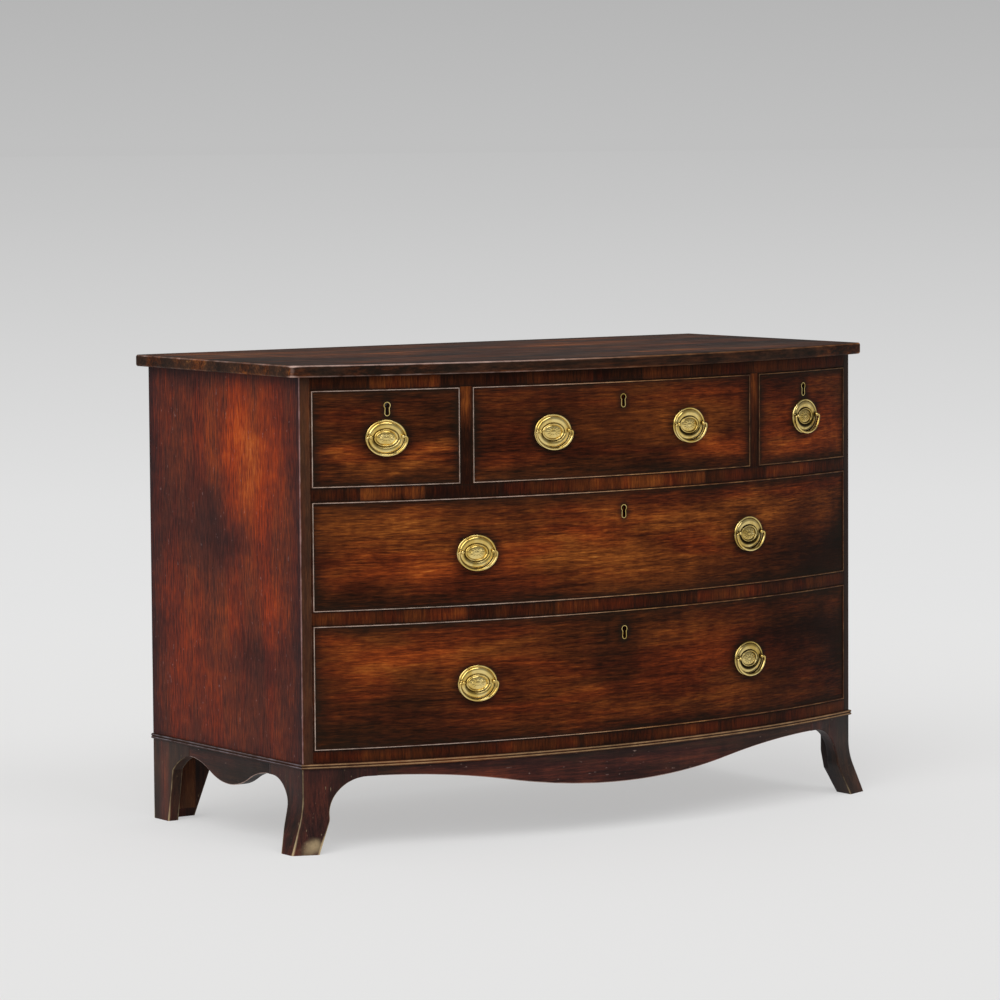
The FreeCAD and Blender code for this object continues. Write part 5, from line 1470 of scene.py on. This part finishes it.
# %% Floor
FLOOR_HALF = 300.0             # metres
FLOOR_GLOW = 0.58              # part of the near floor's brightness that shadows don't take
PAINT, HORIZON, ZENITH = (240, 240, 240), (192, 192, 192), (70, 70, 70)


def grey(level):
    """An even grey, 0 to 255."""
    return (level, level, level)


def make_floor():
    """A flat floor; its colour depends on the distance from the chest."""
    mesh = bpy.data.meshes.new("floor")
    corners = [(-1, -1), (1, -1), (1, 1), (-1, 1)]
    mesh.from_pydata([(x * FLOOR_HALF, y * FLOOR_HALF, 0) for x, y in corners], [],
                     [(0, 1, 2, 3)])
    f = Finish(bpy.data.materials.new("floor_paint"))
    far = f.add("ShaderNodeVectorMath", {0: f.place}, operation="LENGTH").outputs["Value"]
    glow = f.ramp(f.math("DIVIDE", far, f.math("ADD", far, 12.0)), [
        (0.2, grey(229)), (0.36, grey(225)), (0.5, grey(217)), (0.667, grey(208)),
        (0.857, grey(198)), (1.0, HORIZON)])
    paint = f.add("ShaderNodeBsdfDiffuse", {"Color": linear(PAINT)})
    light = f.add("ShaderNodeEmission", {"Color": glow, "Strength": 1.0})
    share = f.math("MULTIPLY_ADD", f.steps(far, 1.6, 4.2), 1.0 - FLOOR_GLOW, FLOOR_GLOW)
    mesh.materials.append(f.end(f.add("ShaderNodeMixShader", {
        0: f.math("MULTIPLY", f.seen(), share), 1: paint.outputs[0], 2: light.outputs[0]})))
    floor = bpy.data.objects.new("floor", mesh)
    bpy.context.scene.collection.objects.link(floor)


make_floor()
print("floor:", 2 * FLOOR_HALF, "m wide")

# %% [markdown]
# The world is lit evenly and softly from everywhere, but the eye and the gloss of the pieces
# see a grey in it that darkens upwards, as a studio's backdrop does.

# %% World
AMBIENT, AMBIENT_COLOUR = 0.46, (1.0, 0.99, 0.97, 1.0)


def make_world():
    """A soft even light, behind a grey that depends on the height above the horizon."""
    world = bpy.data.worlds.new("studio")
    bpy.context.scene.world = world
    f = Finish(world, "Generated")
    height = f.add("ShaderNodeSeparateXYZ", {"Vector": f.place}).outputs["Z"]
    backdrop = f.ramp(height, [(0.0, HORIZON), (0.033, grey(181)), (0.12, grey(160)),
                               (1.0, ZENITH)])
    shown = f.add("ShaderNodeBackground", {"Color": backdrop})
    lit = f.add("ShaderNodeBackground", {"Color": AMBIENT_COLOUR, "Strength": AMBIENT})
    f.end(f.add("ShaderNodeMixShader", {0: f.seen(), 1: lit.outputs[0], 2: shown.outputs[0]}),
          "ShaderNodeOutputWorld")


make_world()
print("ambient light:", AMBIENT)

# %% [markdown]
# Two lamps light the chest. The main one is a wide soft sun on the left and in front, as a large
# soft box would be, which gives the chest its form and a shadow that fades to the right. A small
# one overhead puts the bright glints on the brasses.

# %% Lamps


def make_lamp(name, towards, energy, angle):
    """A sun of a given apparent width in degrees, shining from a direction."""
    sun = bpy.data.lights.new(name, "SUN")
    sun.energy = energy
    sun.angle = math.radians(angle)
    lamp = bpy.data.objects.new(name, sun)
    bpy.context.scene.collection.objects.link(lamp)
    lamp.rotation_euler = Vector(towards).to_track_quat("Z", "Y").to_euler()
    print(name, "turned", [round(math.degrees(a), 1) for a in lamp.rotation_euler])


make_lamp("soft_box", (-0.72, -0.55, 0.8), 1.6, 50)
make_lamp("overhead", (0.1, -0.7, 0.72), 0.5, 26)

# %% [markdown]
# ## Camera
# The camera stands to the left of the chest's front, a little above it, and looks slightly down
# through a long lens, so upright lines stay nearly upright.

# %% Camera
HEADING, DIP, TILT = 0.60055, 0.08143, -0.0071     # radians
EYE, LENS, SENSOR = (-4.3876, -6.3308, 1.1720), 159.57, 36.0    # metres, millimetres twice
forward = Vector((math.sin(HEADING) * math.cos(DIP), math.cos(HEADING) * math.cos(DIP),
                  -math.sin(DIP)))
right = Vector((math.cos(HEADING), -math.sin(HEADING), 0.0))
above = right.cross(forward)
axis_x = right * math.cos(TILT) + above * math.sin(TILT)
axis_y = above * math.cos(TILT) - right * math.sin(TILT)
lens = bpy.data.cameras.new("camera")
lens.sensor_width, lens.lens = SENSOR, LENS
camera = bpy.data.objects.new("camera", lens)
bpy.context.scene.collection.objects.link(camera)
turn = Matrix((axis_x, axis_y, -forward)).transposed().to_4x4()
camera.matrix_world = Matrix.Translation(EYE) @ turn
bpy.context.scene.camera = camera
bpy.context.scene.view_settings.view_transform = "Standard"
print("camera at", EYE, "with a lens of", LENS, "mm")

# %% Finish
print("pieces", len(made), "faces", sum(made.values()))
